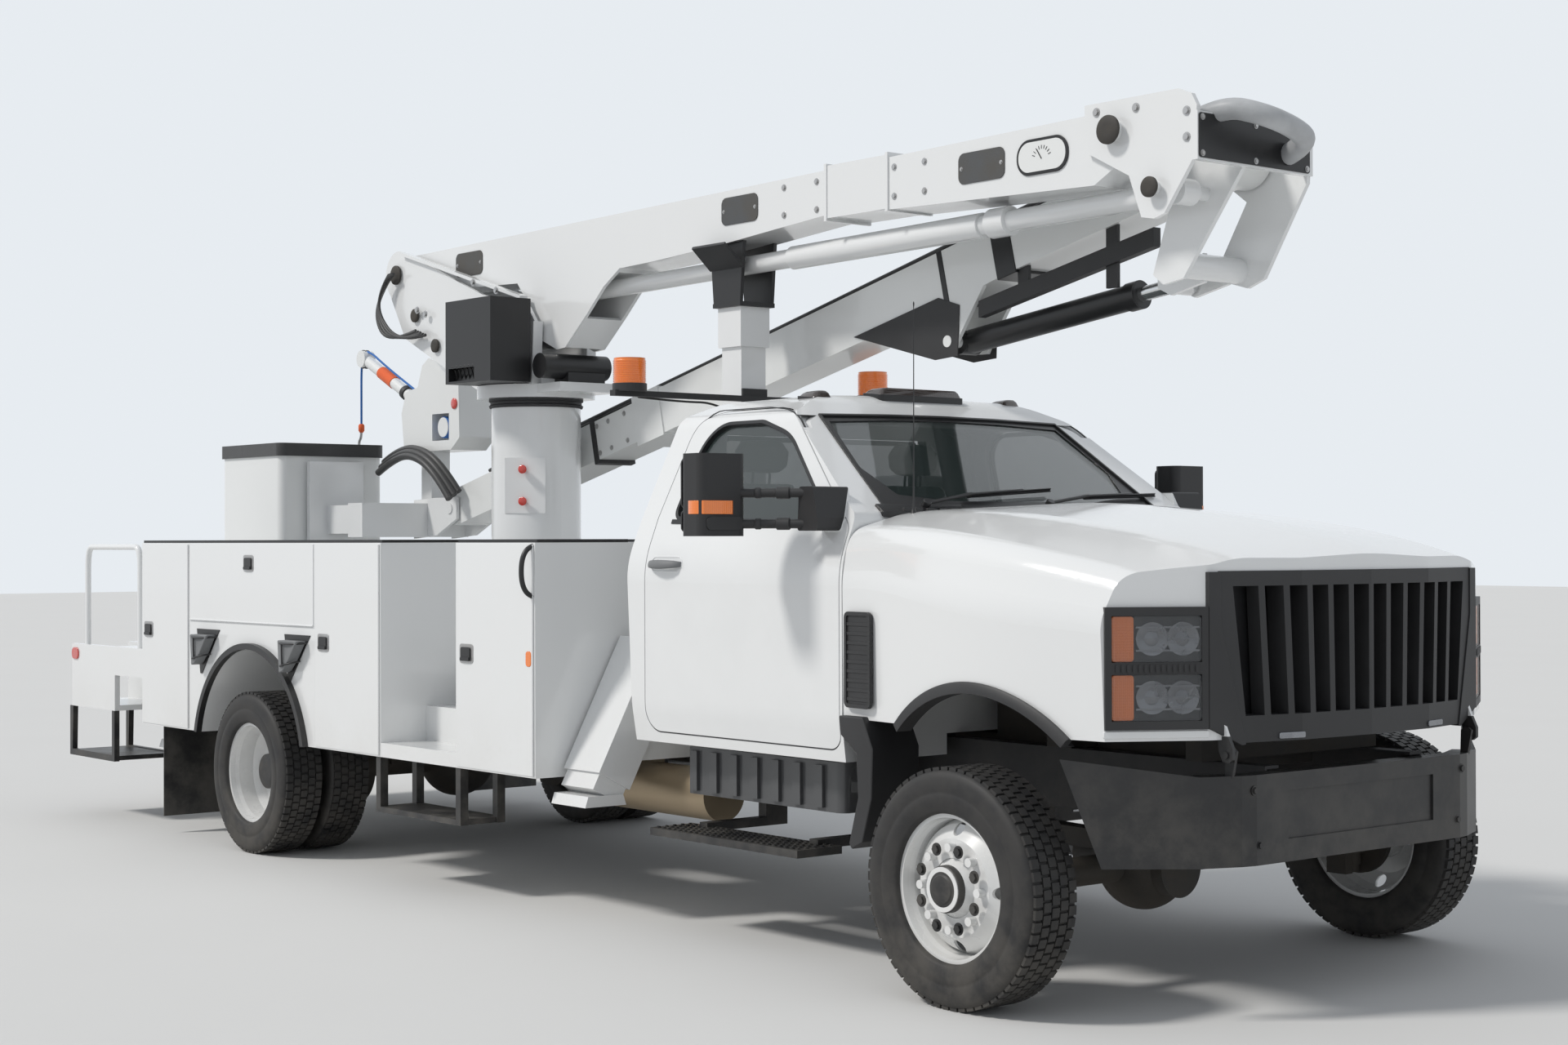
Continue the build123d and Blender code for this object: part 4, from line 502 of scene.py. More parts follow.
# %% Assign finishes to the solids
DRESS = {
    white_paint: ["cab_shell", "hood", "body_right", "body_left", "cargo_bed", "boom_supports", "turntable",
                  "lower_boom", "level_link", "elbow", "bucket_mount"],
    white_gelcoat: ["upper_boom", "bucket", "winch", "jib"],
    black_plastic: ["grille", "headlamps", "hose_tray"],
    black_coat: ["bumper", "steps", "body_trim", "rest_saddle", "turret_gear", "lift_ram", "upper_ram"],
    frame_coat: ["frame"],
    cast_iron: ["engine", "front_axle", "rear_axle", "knuckle_right", "knuckle_left"],
    under_paint: ["underside"],
    grey_plastic: ["cab_interior"],
    chrome: ["lift_rod", "upper_rod"],
    cover_fabric: ["bucket_cover"],
    beacon_paint: ["beacons"],
    door_paint: ["door_right", "door_left"],
}
SIDES = (("right", -1), ("left", 1))
BAYS = ("rear", "over_wheel", "middle", "front")


def dress(name, finish):
    """Give a solid one finish."""
    NODES[name].data.materials.clear()
    NODES[name].data.materials.append(finish.material)


for finish, names in DRESS.items():
    for name in names:
        dress(name, finish)
for side, sign in SIDES:
    for name in ("front_tyre_", "rear_tyres_"):
        dress(name + side, tyre_rubber)
    for name in ("front_wheel_", "rear_wheels_", "outrigger_front_", "outrigger_rear_"):
        dress(name + side, white_paint)
    for bay in BAYS:
        dress("bay_door_" + bay + "_" + side, white_paint)
print("solids dressed")

# %% [markdown]
# Floor and light
#
# The picture is taken on a plain pale floor under soft studio light. The world gives even fill, a
# soft sun lamp shines from high on the truck's right, and the floor keeps the shadow.

# %% Floor, world and lamps
FLOOR_HALF = 60.0
FLOOR_GREY = (0.70, 0.70, 0.69)


def lay_floor():
    mesh = bpy.data.meshes.new("floor")
    corners = [(-FLOOR_HALF, -FLOOR_HALF, 0), (FLOOR_HALF, -FLOOR_HALF, 0), (FLOOR_HALF, FLOOR_HALF, 0),
               (-FLOOR_HALF, FLOOR_HALF, 0)]
    mesh.from_pydata(corners, [], [(0, 1, 2, 3)])
    floor = bpy.data.objects.new("floor", mesh)
    bpy.context.scene.collection.objects.link(floor)
    pale = Finish("floor_pale", FLOOR_GREY, 0.85, Specular_IOR_Level=0.2)
    patches = pale.noise(0.7, 5.0).above(0.5, 0.8) * 0.3
    pale.set("Base Color", pale.blend(patches, FLOOR_GREY, (0.66, 0.66, 0.65)))
    mesh.materials.append(pale.material)


def light_world():
    """Soft fill for the object; the camera and mirrors see a pale backdrop of the same hue."""
    world = bpy.data.worlds.new("studio")
    bpy.context.scene.world = world
    world.use_nodes = True
    nodes, links = world.node_tree.nodes, world.node_tree.links
    fill = nodes["Background"]
    fill.inputs["Color"].default_value = (0.86, 0.90, 0.96, 1.0)
    fill.inputs["Strength"].default_value = 0.55
    seen = nodes.new("ShaderNodeBackground")
    seen.inputs["Color"].default_value = (0.80, 0.84, 0.88, 1.0)
    seen.inputs["Strength"].default_value = 1.0
    path = nodes.new("ShaderNodeLightPath")
    sees = path.outputs["Is Camera Ray"]
    for ray in ("Is Transmission Ray", "Is Glossy Ray"):
        either = nodes.new("ShaderNodeMath")
        either.operation = "MAXIMUM"
        links.new(sees, either.inputs[0])
        links.new(path.outputs[ray], either.inputs[1])
        sees = either.outputs[0]
    mix = nodes.new("ShaderNodeMixShader")
    links.new(sees, mix.inputs[0])
    links.new(fill.outputs[0], mix.inputs[1])
    links.new(seen.outputs[0], mix.inputs[2])
    links.new(mix.outputs[0], nodes["World Output"].inputs["Surface"])


def hang_sun(direction, strength, softness):
    data = bpy.data.lights.new("key_lamp", "SUN")
    data.energy = strength
    data.angle = math.radians(softness)
    data.color = (1.0, 0.97, 0.93)
    lamp = bpy.data.objects.new("key_lamp", data)
    lamp.rotation_euler = Vector(direction).to_track_quat("-Z", "Y").to_euler()
    bpy.context.scene.collection.objects.link(lamp)


lay_floor()
light_world()
hang_sun((0.30, 0.62, -0.72), 2.0, 9.0)
bpy.context.scene.view_settings.view_transform = "Standard"
print("floor and light ready")

# %% [markdown]
# Drawing pieces
#
# Every added piece is a mesh drawn in the truck's own stations. A Draft collects closed shells:
# plates cut from an outline, bars, turned forms and rings between two outlines. Its piece method
# moves the mesh into the frame, points the faces outwards, softens the edges with a bevel and hangs
# the piece on the body that carries it.

# %% Outlines
def rounded(corners, steps=5):
    """Points of a closed outline through (x, y, radius) corners, with an arc at each rounded one."""
    points = []
    for k, (x, y, radius) in enumerate(corners):
        corner = Vector((x, y))
        back = Vector(corners[k - 1][:2]) - corner
        ahead = Vector(corners[(k + 1) % len(corners)][:2]) - corner
        if not radius:
            points.append((x, y))
            continue
        back.normalize()
        ahead.normalize()
        half = back.angle(ahead) / 2
        centre = corner + (back + ahead).normalized() * (radius / math.sin(half))
        first = corner + back * (radius / math.tan(half)) - centre
        last = corner + ahead * (radius / math.tan(half)) - centre
        for step in range(steps + 1):
            arm = first.lerp(last, step / steps).normalized() * radius
            points.append(tuple(centre + arm))
    return points


def shrunk(outline, amount):
    """The outline moved inwards by an amount, point by point."""
    area = sum(a[0] * b[1] - b[0] * a[1] for a, b in zip(outline, outline[1:] + outline[:1]))
    turn = 1 if area > 0 else -1
    moved = []
    for k, point in enumerate(outline):
        here = Vector(point)
        before = (here - Vector(outline[k - 1])).normalized()
        after = (Vector(outline[(k + 1) % len(outline)]) - here).normalized()
        inward = Vector((-before.y - after.y, before.x + after.x)) * turn
        scale = inward.length_squared / 2
        moved.append(tuple(here + inward * amount / max(scale, 0.2)))
    return moved


def oblong(x0, x1, y0, y1, radius, steps=4):
    """A rectangle's outline with rounded corners."""
    return rounded([(x0, y0, radius), (x1, y0, radius), (x1, y1, radius), (x0, y1, radius)], steps)


# %% Drafts
PIECES = bpy.context.scene.collection


class Draft:
    """A mesh being drawn in station metres."""

    def __init__(self):
        self.mesh = bmesh.new()

    def loops(self, loops, closed=True, caps=True):
        """Join loops of equal length into a skin."""
        rows = [[self.mesh.verts.new(point) for point in loop] for loop in loops]
        for low, high in zip(rows, rows[1:]):
            count = len(low)
            for k in range(count if closed else count - 1):
                n = (k + 1) % count
                self.mesh.faces.new((low[k], low[n], high[n], high[k]))
        if caps:
            self.mesh.faces.new(rows[0][::-1])
            self.mesh.faces.new(rows[-1])
        return self

    def plate(self, outline, place, low, high):
        """A plate: place(u, v, depth) puts the outline's points at both depths."""
        return self.loops([[place(u, v, depth) for u, v in outline] for depth in (low, high)])

    def side(self, outline, y0, y1):
        return self.plate(outline, lambda u, v, depth: (u, depth, v), y0, y1)

    def front(self, outline, x0, x1):
        return self.plate(outline, lambda u, v, depth: (depth, u, v), x0, x1)

    def top(self, outline, z0, z1):
        return self.plate(outline, lambda u, v, depth: (u, v, depth), z0, z1)

    def box(self, x0, x1, y0, y1, z0, z1):
        return self.top([(x0, y0), (x1, y0), (x1, y1), (x0, y1)], z0, z1)

    def band(self, outer, inner, place, low, high):
        """A closed ring between two outlines that have as many points as each other."""
        corners = ((outer, low), (outer, high), (inner, high), (inner, low))
        rows = [[self.mesh.verts.new(place(u, v, depth)) for u, v in line] for line, depth in corners]
        for k in range(4):
            low_row, high_row = rows[k], rows[(k + 1) % 4]
            for j in range(len(outer)):
                n = (j + 1) % len(outer)
                self.mesh.faces.new((low_row[j], low_row[n], high_row[n], high_row[j]))
        return self

    def turned(self, profile, start, along, sides=24):
        """A form turned about a line from start; the profile holds (distance, radius) pairs."""
        start, along = Vector(start), Vector(along).normalized()
        across = along.orthogonal().normalized()
        third = along.cross(across)
        rows = []
        for distance, radius in profile:
            centre = start + along * distance
            turns = [2 * math.pi * k / sides for k in range(sides)]
            rows.append([centre + (across * math.cos(a) + third * math.sin(a)) * radius for a in turns])
        return self.loops(rows)

    def bar(self, start, end, radius, sides=12):
        """A round bar with its end edges eased."""
        start, end = Vector(start), Vector(end)
        length = (end - start).length
        ease = min(radius, length) * 0.15
        profile = [(0, radius - ease), (ease, radius), (length - ease, radius), (length, radius - ease)]
        return self.turned(profile, start, end - start, sides)

    def piece(self, name, finish, body, bevel=0.0, segments=2, smooth=38.0):
        """Finish the draft: into the frame, normals outwards, edges softened, hung on its body."""
        bmesh.ops.remove_doubles(self.mesh, verts=self.mesh.verts, dist=1e-6)
        bmesh.ops.recalc_face_normals(self.mesh, faces=self.mesh.faces)
        bmesh.ops.translate(self.mesh, verts=self.mesh.verts, vec=(AXLE_X, 0, 0))
        mesh = bpy.data.meshes.new(name)
        self.mesh.to_mesh(mesh)
        self.mesh.free()
        return hang(name, mesh, finish, body, bevel, segments, smooth)


def hang(name, mesh, finish, body, bevel=0.0, segments=2, smooth=38.0):
    """Make a mesh that lies in the frame into a piece that rides on a body."""
    if finish:
        mesh.materials.clear()
        mesh.materials.append(finish.material)
    mesh.shade_smooth()
    mesh.set_sharp_from_angle(angle=math.radians(smooth))
    piece = bpy.data.objects.new(name, mesh)
    PIECES.objects.link(piece)
    if bevel:
        edge = piece.modifiers.new("eased_edges", "BEVEL")
        edge.width = bevel
        edge.segments = segments
        edge.limit_method = "ANGLE"
        edge.angle_limit = math.radians(smooth)
        edge.harden_normals = True
    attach(piece, body)
    return piece


def turned_piece(name, profile, start, along, sides, finish, body, bevel=0.0, smooth=38.0):
    """A piece that is one turned form, from (distance, radius) pairs."""
    Draft().turned(profile, start, along, sides).piece(name, finish, body, bevel, smooth=smooth)


def hoses(name, routes, radius, finish, body, sides=6):
    """Round lines along smooth routes; each route is a list of station points."""
    data = bpy.data.curves.new(name, "CURVE")
    data.dimensions = "3D"
    data.bevel_depth = radius
    data.bevel_resolution = sides // 2
    data.use_fill_caps = True
    data.resolution_u = 8
    for route in routes:
        spline = data.splines.new("NURBS")
        spline.points.add(len(route) - 1)
        for point, place in zip(spline.points, route):
            point.co = (*in_frame(*place), 1.0)
        spline.order_u = 3
        spline.use_endpoint_u = True
    drawn = bpy.data.objects.new(name + "_line", data)
    PIECES.objects.link(drawn)
    ready = drawn.evaluated_get(bpy.context.evaluated_depsgraph_get())
    mesh = bpy.data.meshes.new_from_object(ready)
    bpy.data.objects.remove(drawn)
    return hang(name, mesh, finish, body, smooth=60.0)


print("drafts ready")

# %% [markdown]
# Things that repeat
#
# Bolts, tread blocks and perforations repeat by a rule, so Geometry Nodes set one form on each of
# many points. The points are a mesh that carries a direction for each: where a bolt faces. The tree
# turns the form to that direction, makes the copies real and gives them their finish.

# %% Trees of nodes
class Tree:
    """A Geometry Nodes tree with named sizes."""

    def __init__(self, name, sizes):
        self.group = bpy.data.node_groups.new(name, "GeometryNodeTree")
        face = self.group.interface
        face.new_socket("Geometry", in_out="INPUT", socket_type="NodeSocketGeometry")
        for label, value in sizes.items():
            kind = "NodeSocketInt" if isinstance(value, int) else "NodeSocketFloat"
            socket = face.new_socket(label, in_out="INPUT", socket_type=kind)
            socket.default_value = value
        face.new_socket("Geometry", in_out="OUTPUT", socket_type="NodeSocketGeometry")
        self.source = self.group.nodes.new("NodeGroupInput")
        self.output = self.group.nodes.new("NodeGroupOutput")

    def size(self, label):
        return self.source.outputs[label]

    def add(self, kind, settings=None, **sockets):
        """Make a node; a socket's value is a number or another node's output."""
        node = self.group.nodes.new(kind)
        for name, value in (settings or {}).items():
            setattr(node, name, value)
        for name, value in sockets.items():
            socket = node.inputs[name.replace("_", " ")]
            if isinstance(value, bpy.types.NodeSocket):
                self.group.links.new(value, socket)
            else:
                socket.default_value = value
        return node

    def join(self, *outputs):
        node = self.group.nodes.new("GeometryNodeJoinGeometry")
        for output in outputs[::-1]:
            self.group.links.new(output, node.inputs[0])
        return node.outputs[0]

    def close(self, geometry, finish):
        """End the tree: copies made real, then the finish set."""
        real = self.add("GeometryNodeRealizeInstances", Geometry=geometry)
        dressed = self.add("GeometryNodeSetMaterial", Geometry=real.outputs[0], Material=finish.material)
        self.group.links.new(dressed.outputs[0], self.output.inputs[0])


def on_points(tree, form):
    """Set a form on every point, its Z turned to the point's out direction."""
    out = tree.add("GeometryNodeInputNamedAttribute", {"data_type": "FLOAT_VECTOR"}, Name="out")
    turn = tree.add("FunctionNodeAlignRotationToVector", {"axis": "Z"}, Vector=out.outputs["Attribute"])
    size = tree.add("GeometryNodeInputNamedAttribute", {"data_type": "FLOAT"}, Name="size")
    copies = tree.add("GeometryNodeInstanceOnPoints", Points=tree.source.outputs["Geometry"], Instance=form,
                      Rotation=turn.outputs[0], Scale=size.outputs["Attribute"])
    return copies.outputs[0]


def scattered(name, tree, points, body):
    """Run a tree on (place, out, size) points and hang the result on a body."""
    mesh = bpy.data.meshes.new(name + "_points")
    mesh.from_pydata([in_frame(*place) for place, out, size in points], [], [])
    mesh.attributes.new("out", "FLOAT_VECTOR", "POINT")
    mesh.attributes.new("size", "FLOAT", "POINT")
    for k, (place, out, size) in enumerate(points):
        mesh.attributes["out"].data[k].vector = out
        mesh.attributes["size"].data[k].value = size
    drawn = bpy.data.objects.new(name + "_points", mesh)
    PIECES.objects.link(drawn)
    grown = drawn.modifiers.new("copies", "NODES")
    grown.node_group = tree.group
    result = bpy.data.meshes.new_from_object(drawn.evaluated_get(bpy.context.evaluated_depsgraph_get()))
    drawn.modifiers.remove(grown)
    bpy.data.objects.remove(drawn)
    return hang(name, result, None, body)


def bolt_tree(name, finish, sides):
    """A washer and a hexagon or round head of unit radius, standing on Z."""
    tree = Tree(name, {"Head height": 0.7, "Washer": 1.5, "Washer height": 0.22})
    washer = tree.add("GeometryNodeMeshCylinder", Vertices=18, Radius=tree.size("Washer"),
                      Depth=tree.size("Washer height"))
    head = tree.add("GeometryNodeMeshCylinder", Vertices=sides, Radius=1.0, Depth=tree.size("Head height"))
    lifted = tree.add("ShaderNodeCombineXYZ", Z=tree.size("Head height"))
    half = tree.add("ShaderNodeVectorMath", {"operation": "SCALE"}, Vector=lifted.outputs[0], Scale=0.5)
    raised = tree.add("GeometryNodeTransform", Geometry=head.outputs["Mesh"], Translation=half.outputs[0])
    tree.close(on_points(tree, tree.join(washer.outputs["Mesh"], raised.outputs[0])), finish)
    return tree


steel_bolts = bolt_tree("steel_bolts", bare_steel, 6)
black_bolts = bolt_tree("black_bolts", black_coat, 6)
print("trees ready")

# %% [markdown]
# Cab glass
#
# The cab's skin leans in above the waist, so its windows lie on a leaning plane. One function gives
# a point of that plane from its station, its height and its depth under the skin, and the pane, the
# black rubber round it and the strip along its sill are all placed with it.

# %% The cab's planes
WAIST_Y, WAIST_Z = 1.004, 1.480
LEAN = math.atan2(0.229, 0.586)
GLASS_LOW = Vector((-0.792, 0.0, 1.668))
GLASS_RUN = Vector((-0.658, 0.0, 0.490)).normalized()
GLASS_OUT = Vector((0.490, 0.0, 0.658)).normalized()
WINDOW_OUTLINE = [(-0.890, 1.620, 0.028), (-1.300, 1.985, 0.300), (-1.500, 2.045, 0.150),
                  (-1.850, 2.045, 0.165), (-1.905, 1.650, 0.045)]


def on_side(sign):
    """Place a point of the side glass's plane: station, height and depth under the skin."""
    def place(x, z, depth):
        width = WAIST_Y - (z - WAIST_Z) * math.tan(LEAN)
        return (x, sign * (width - depth * math.cos(LEAN)), z - depth * math.sin(LEAN))
    return place


def on_windshield(u, v, depth):
    """Place a point of the windshield's plane: run up the glass, width, and depth under the skin."""
    crown = 0.016 * (1 - (v / 0.77) ** 2)
    return tuple(GLASS_LOW + GLASS_RUN * u + Vector((0, v, 0)) + GLASS_OUT * (crown - depth))


def on_back(y, z, depth):
    return (-2.104 + depth + 0.02 * (z - 1.85), y, z)


# %% Side windows
def side_glass(side, sign):
    """A pane with its rubber, and a thin black strip along its sill."""
    hole = rounded(WINDOW_OUTLINE, 8)
    place = on_side(sign)
    body = "door_" + side + "_body"
    Draft().plate(shrunk(hole, 0.006), place, 0.016, 0.021).piece("window_" + side, cab_glass, body)
    rubber = Draft().band(shrunk(hole, 0.0004), shrunk(hole, 0.015), place, -0.0015, 0.024)
    rubber.piece("window_rubber_" + side, smooth_black, body, 0.002)
    sill = [(-0.898, 1.612), (-1.900, 1.634), (-1.900, 1.652), (-0.900, 1.630)]
    wiper = Draft().plate(sill, place, -0.004, 0.006)
    wiper.piece("window_sill_strip_" + side, smooth_black, body, 0.001)


for side, sign in SIDES:
    side_glass(side, sign)
print("side windows in")

# %% Windshield and rear window
GLASS_ROWS = 8
GLASS_COLUMNS = 12
GLASS_RUNS = (0.026, 0.650)
GLASS_HALVES = (0.762, 0.657)


def windshield():
    """A crowned pane: two grids of points, joined along their edge."""
    sheet = Draft()
    layers = []
    for depth in (0.010, 0.016):
        layer = []
        for step in range(GLASS_ROWS + 1):
            share = step / GLASS_ROWS
            u = GLASS_RUNS[0] + (GLASS_RUNS[1] - GLASS_RUNS[0]) * share
            half = GLASS_HALVES[0] + (GLASS_HALVES[1] - GLASS_HALVES[0]) * share
            spots = [half * (k / GLASS_COLUMNS * 2 - 1) for k in range(GLASS_COLUMNS + 1)]
            layer.append([sheet.mesh.verts.new(on_windshield(u, v, depth)) for v in spots])
        layers.append(layer)
    for layer, order in zip(layers, (1, -1)):
        for a, b in zip(layer, layer[1:]):
            for k in range(GLASS_COLUMNS):
                sheet.mesh.faces.new((a[k], a[k + 1], b[k + 1], b[k])[::order])
    front, back = [layer[0] + [row[-1] for row in layer[1:-1]] + layer[-1][::-1]
                   + [row[0] for row in layer[1:-1]][::-1] for layer in layers]
    for k in range(len(front)):
        n = (k + 1) % len(front)
        sheet.mesh.faces.new((front[k], front[n], back[n], back[k]))
    sheet.piece("windshield", cab_glass, "chassis")


def windshield_edge():
    """The black edge printed on the glass: wide at the lower corners, where it meets the cowl."""
    outer = [(0.014, -0.768), (0.014, -0.4), (0.014, 0.0), (0.014, 0.4), (0.014, 0.768), (0.30, 0.722),
             (0.655, 0.662), (0.655, 0.3), (0.655, 0.0), (0.655, -0.3), (0.655, -0.662), (0.30, -0.722)]
    inner = [(0.120, -0.630), (0.072, -0.4), (0.064, 0.0), (0.072, 0.4), (0.120, 0.630), (0.30, 0.690),
             (0.610, 0.632), (0.622, 0.3), (0.626, 0.0), (0.622, -0.3), (0.610, -0.632), (0.30, -0.690)]
    edge = Draft().band(outer, inner, on_windshield, 0.0045, 0.0095)
    edge.piece("windshield_edge", smooth_black, "chassis", 0.0015)
    rim = Draft().band(outer, shrunk(outer, 0.012), on_windshield, -0.004, 0.020)
    rim.piece("windshield_rubber", smooth_black, "chassis", 0.002)


def rear_window():
    hole = oblong(-0.559, 0.559, 1.691, 2.009, 0.05, 5)
    Draft().plate(shrunk(hole, 0.004), on_back, 0.014, 0.019).piece("rear_window", cab_glass, "chassis")
    opening = (-0.5595, 0.5595, 1.6905, 2.0095)
    outer = shrunk(oblong(*opening, 0.02, 3), 0.0005)
    inner = shrunk(oblong(*opening, 0.05, 3), 0.022)
    rubber = Draft().band(outer, inner, on_back, -0.006, 0.028)
    rubber.piece("rear_window_rubber", smooth_black, "chassis", 0.002)


windshield()
windshield_edge()
rear_window()
print("windshield and rear window in")

# %% [markdown]
# Wipers, cowl and roof
#
# Below the glass lies a black cowl with a leaf grille, from which two wipers rise. On the roof's
# front edge stand smoked marker lamps: one at each side and a long one in the middle. A whip aerial
# is fixed to the right fender.

# %% Wipers and roof details
def cowl():
    """The cowl's black shelf under the glass, with the slots that air goes in by."""
    line = [(-0.796, 1.660), (-0.776, 1.652), (-0.776, 1.672), (-0.800, 1.690), (-0.822, 1.703),
            (-0.828, 1.694)]
    shelf = Draft().side(line, -0.80, 0.80)
    for k in range(24):
        y = -0.69 + k * 0.06
        shelf.box(-0.798, -0.781, y, y + 0.034, 1.672, 1.6885)
    shelf.piece("cowl", smooth_black, "chassis", 0.002)


def wipers():
    """Two arms with their blades, lying low on the glass."""
    draft = Draft()
    for pivot, reach in ((-0.56, 0.58), (0.10, 0.56)):
        root = Vector(on_windshield(0.030, pivot, -0.018))
        elbow_point = Vector(on_windshield(0.075, pivot + reach * 0.45, -0.026))
        tip = Vector(on_windshield(0.118, pivot + reach, -0.016))
        draft.bar(root - GLASS_OUT * 0.016, root + GLASS_OUT * 0.010, 0.017, 14)
        draft.bar(root, elbow_point, 0.0075, 8)
        draft.bar(elbow_point, tip, 0.0055, 8)
        low = Vector(on_windshield(0.080, pivot + reach * 0.42, -0.007))
        high = Vector(on_windshield(0.128, pivot + reach * 1.28, -0.007))
        across = (high - low).cross(GLASS_OUT).normalized() * 0.008
        line = [low - across, high - across, high + across, low + across]
        draft.loops([line, [point + GLASS_OUT * 0.006 for point in line]])
        spine = [low - across * 0.3, high - across * 0.3, high + across * 0.3, low + across * 0.3]
        draft.loops([[point + GLASS_OUT * 0.005 for point in spine],
                     [point + GLASS_OUT * 0.014 for point in spine]])
    draft.piece("wipers", smooth_black, "chassis", 0.001)


ROOF_SLOPE = 0.10


def marker_lens(draft, y0, y1, x0, x1, z):
    """A low lens like half a pebble, its nose raised towards the front."""
    length = x1 - x0
    loops = []
    for share, rise in ((0.0, 0.0), (0.35, 0.020), (0.75, 0.030), (1.0, 0.031)):
        ease = share * 0.30
        low, high = x0 + length * ease * 0.8, x1 - length * ease * 0.35
        outline = oblong(low, high, y0 + 0.03 * share, y1 - 0.03 * share, 0.016, 4)
        loops.append([(x, y, z - (x - x0) * ROOF_SLOPE + rise * (0.55 + 0.45 * (x - x0) / length))
                      for x, y in outline])
    draft.loops(loops)


def roof_markers():
    lamps, feet = Draft(), Draft()
    for y0, y1, x0, x1, z in ((-0.585, -0.475, -1.545, -1.430, 2.136), (0.475, 0.585, -1.545, -1.430, 2.136),
                              (-0.235, 0.235, -1.545, -1.425, 2.161)):
        marker_lens(lamps, y0 + 0.006, y1 - 0.006, x0 + 0.006, x1 - 0.006, z + 0.010)
        outline = oblong(x0, x1, y0, y1, 0.018, 4)
        heights = (-0.016, 0.012)
        feet.loops([[(x, y, z + rise - (x - x0) * ROOF_SLOPE) for x, y in outline] for rise in heights])
    lamps.piece("roof_marker_lenses", smoked_lens, "chassis", 0.0, smooth=60)
    feet.piece("roof_marker_feet", smooth_black, "chassis", 0.002)


def aerial():
    draft = Draft()
    foot = (-0.700, -0.720, 1.628)
    draft.turned([(0, 0.024), (0.010, 0.023), (0.022, 0.012), (0.050, 0.009), (0.058, 0.004), (0.30, 0.0022),
                  (0.80, 0.0016), (0.815, 0.003), (0.822, 0.001)], foot, (0.004, 0, 1), 12)
    draft.piece("aerial", smooth_black, "hood_body")


cowl()
wipers()
roof_markers()
aerial()
print("wipers, cowl, markers and aerial in")

# %% [markdown]
# Door handles and seams
#
# A grey pull handle stands off each door on two feet over a shallow dish. Round the door runs the
# dark seam where the weatherstrip shows, which the solids leave as a gap: a rubber ring inside it
# keeps daylight out.

# %% Door handles and weatherstrips
DOOR_OUTLINE = [(-0.797, 0.800, 0.060), (-0.797, 1.615, 0.060), (-1.330, 2.072, 0.260),
                (-1.500, 2.092, 0.200), (-1.930, 2.092, 0.150), (-2.000, 1.660, 0.060),
                (-2.000, 0.800, 0.090)]


def skin_width(z):
    """Half the cab's width at a height, as its cross-section has it."""
    if z < 1.40:
        return 1.0035
    if z < 1.554:
        return 1.0035 - 0.42 * (1 - math.cos((z - 1.40) / 0.42))
    return WAIST_Y - (z - WAIST_Z) * math.tan(LEAN)


def on_skin(sign):
    """Place a point of the cab's side: station, height and depth under the skin."""
    def place(x, z, depth):
        return (x, sign * (skin_width(z) - depth), z)
    return place


HANDLE_Z = 1.472
HANDLE_LINE = ((-1.965, 0.004, 0.010), (-1.950, 0.022, 0.015), (-1.915, 0.036, 0.017), (-1.870, 0.042, 0.018),
               (-1.825, 0.038, 0.017), (-1.785, 0.026, 0.015), (-1.762, 0.004, 0.010))


def door_handle(side, sign):
    place = on_skin(sign)
    loops = []
    for x, out, high in HANDLE_LINE:
        angles = [2 * math.pi * k / 12 for k in range(12)]
        loops.append([place(x, HANDLE_Z + math.sin(a) * high, 0.002 - out - math.cos(a) * 0.009)
                      for a in angles])
    Draft().loops(loops).piece("door_handle_" + side, grey_plastic, "door_" + side + "_body", smooth=60)
    rim = oblong(-1.968, -1.758, 1.440, 1.505, 0.030, 5)
    dish = Draft().band(rim, shrunk(rim, 0.006), place, -0.0025, 0.002)
    dish.piece("door_handle_rim_" + side, white_paint, "door_" + side + "_body", 0.001)


def weatherstrip(side, sign):
    outer = rounded(DOOR_OUTLINE, 6)
    ring = Draft().band(shrunk(outer, -0.0045), shrunk(outer, -0.0004), on_skin(sign), 0.012, 0.017)
    ring.piece("door_seam_" + side, smooth_black, "chassis")


for side, sign in SIDES:
    door_handle(side, sign)
    weatherstrip(side, sign)
print("door handles in")

# %% [markdown]
# Inside the cab
#
# Two bucket seats, a dash and a steering wheel show through the glass. A seat is foam under woven
# cloth: a cushion and a back with raised side bolsters, and a head rest on two posts. The forms are
# drawn as coarse blocks with crowned faces, remeshed, and blown up a little by the cloth solver, so
# that the faces swell between their edges as stuffed cloth does.

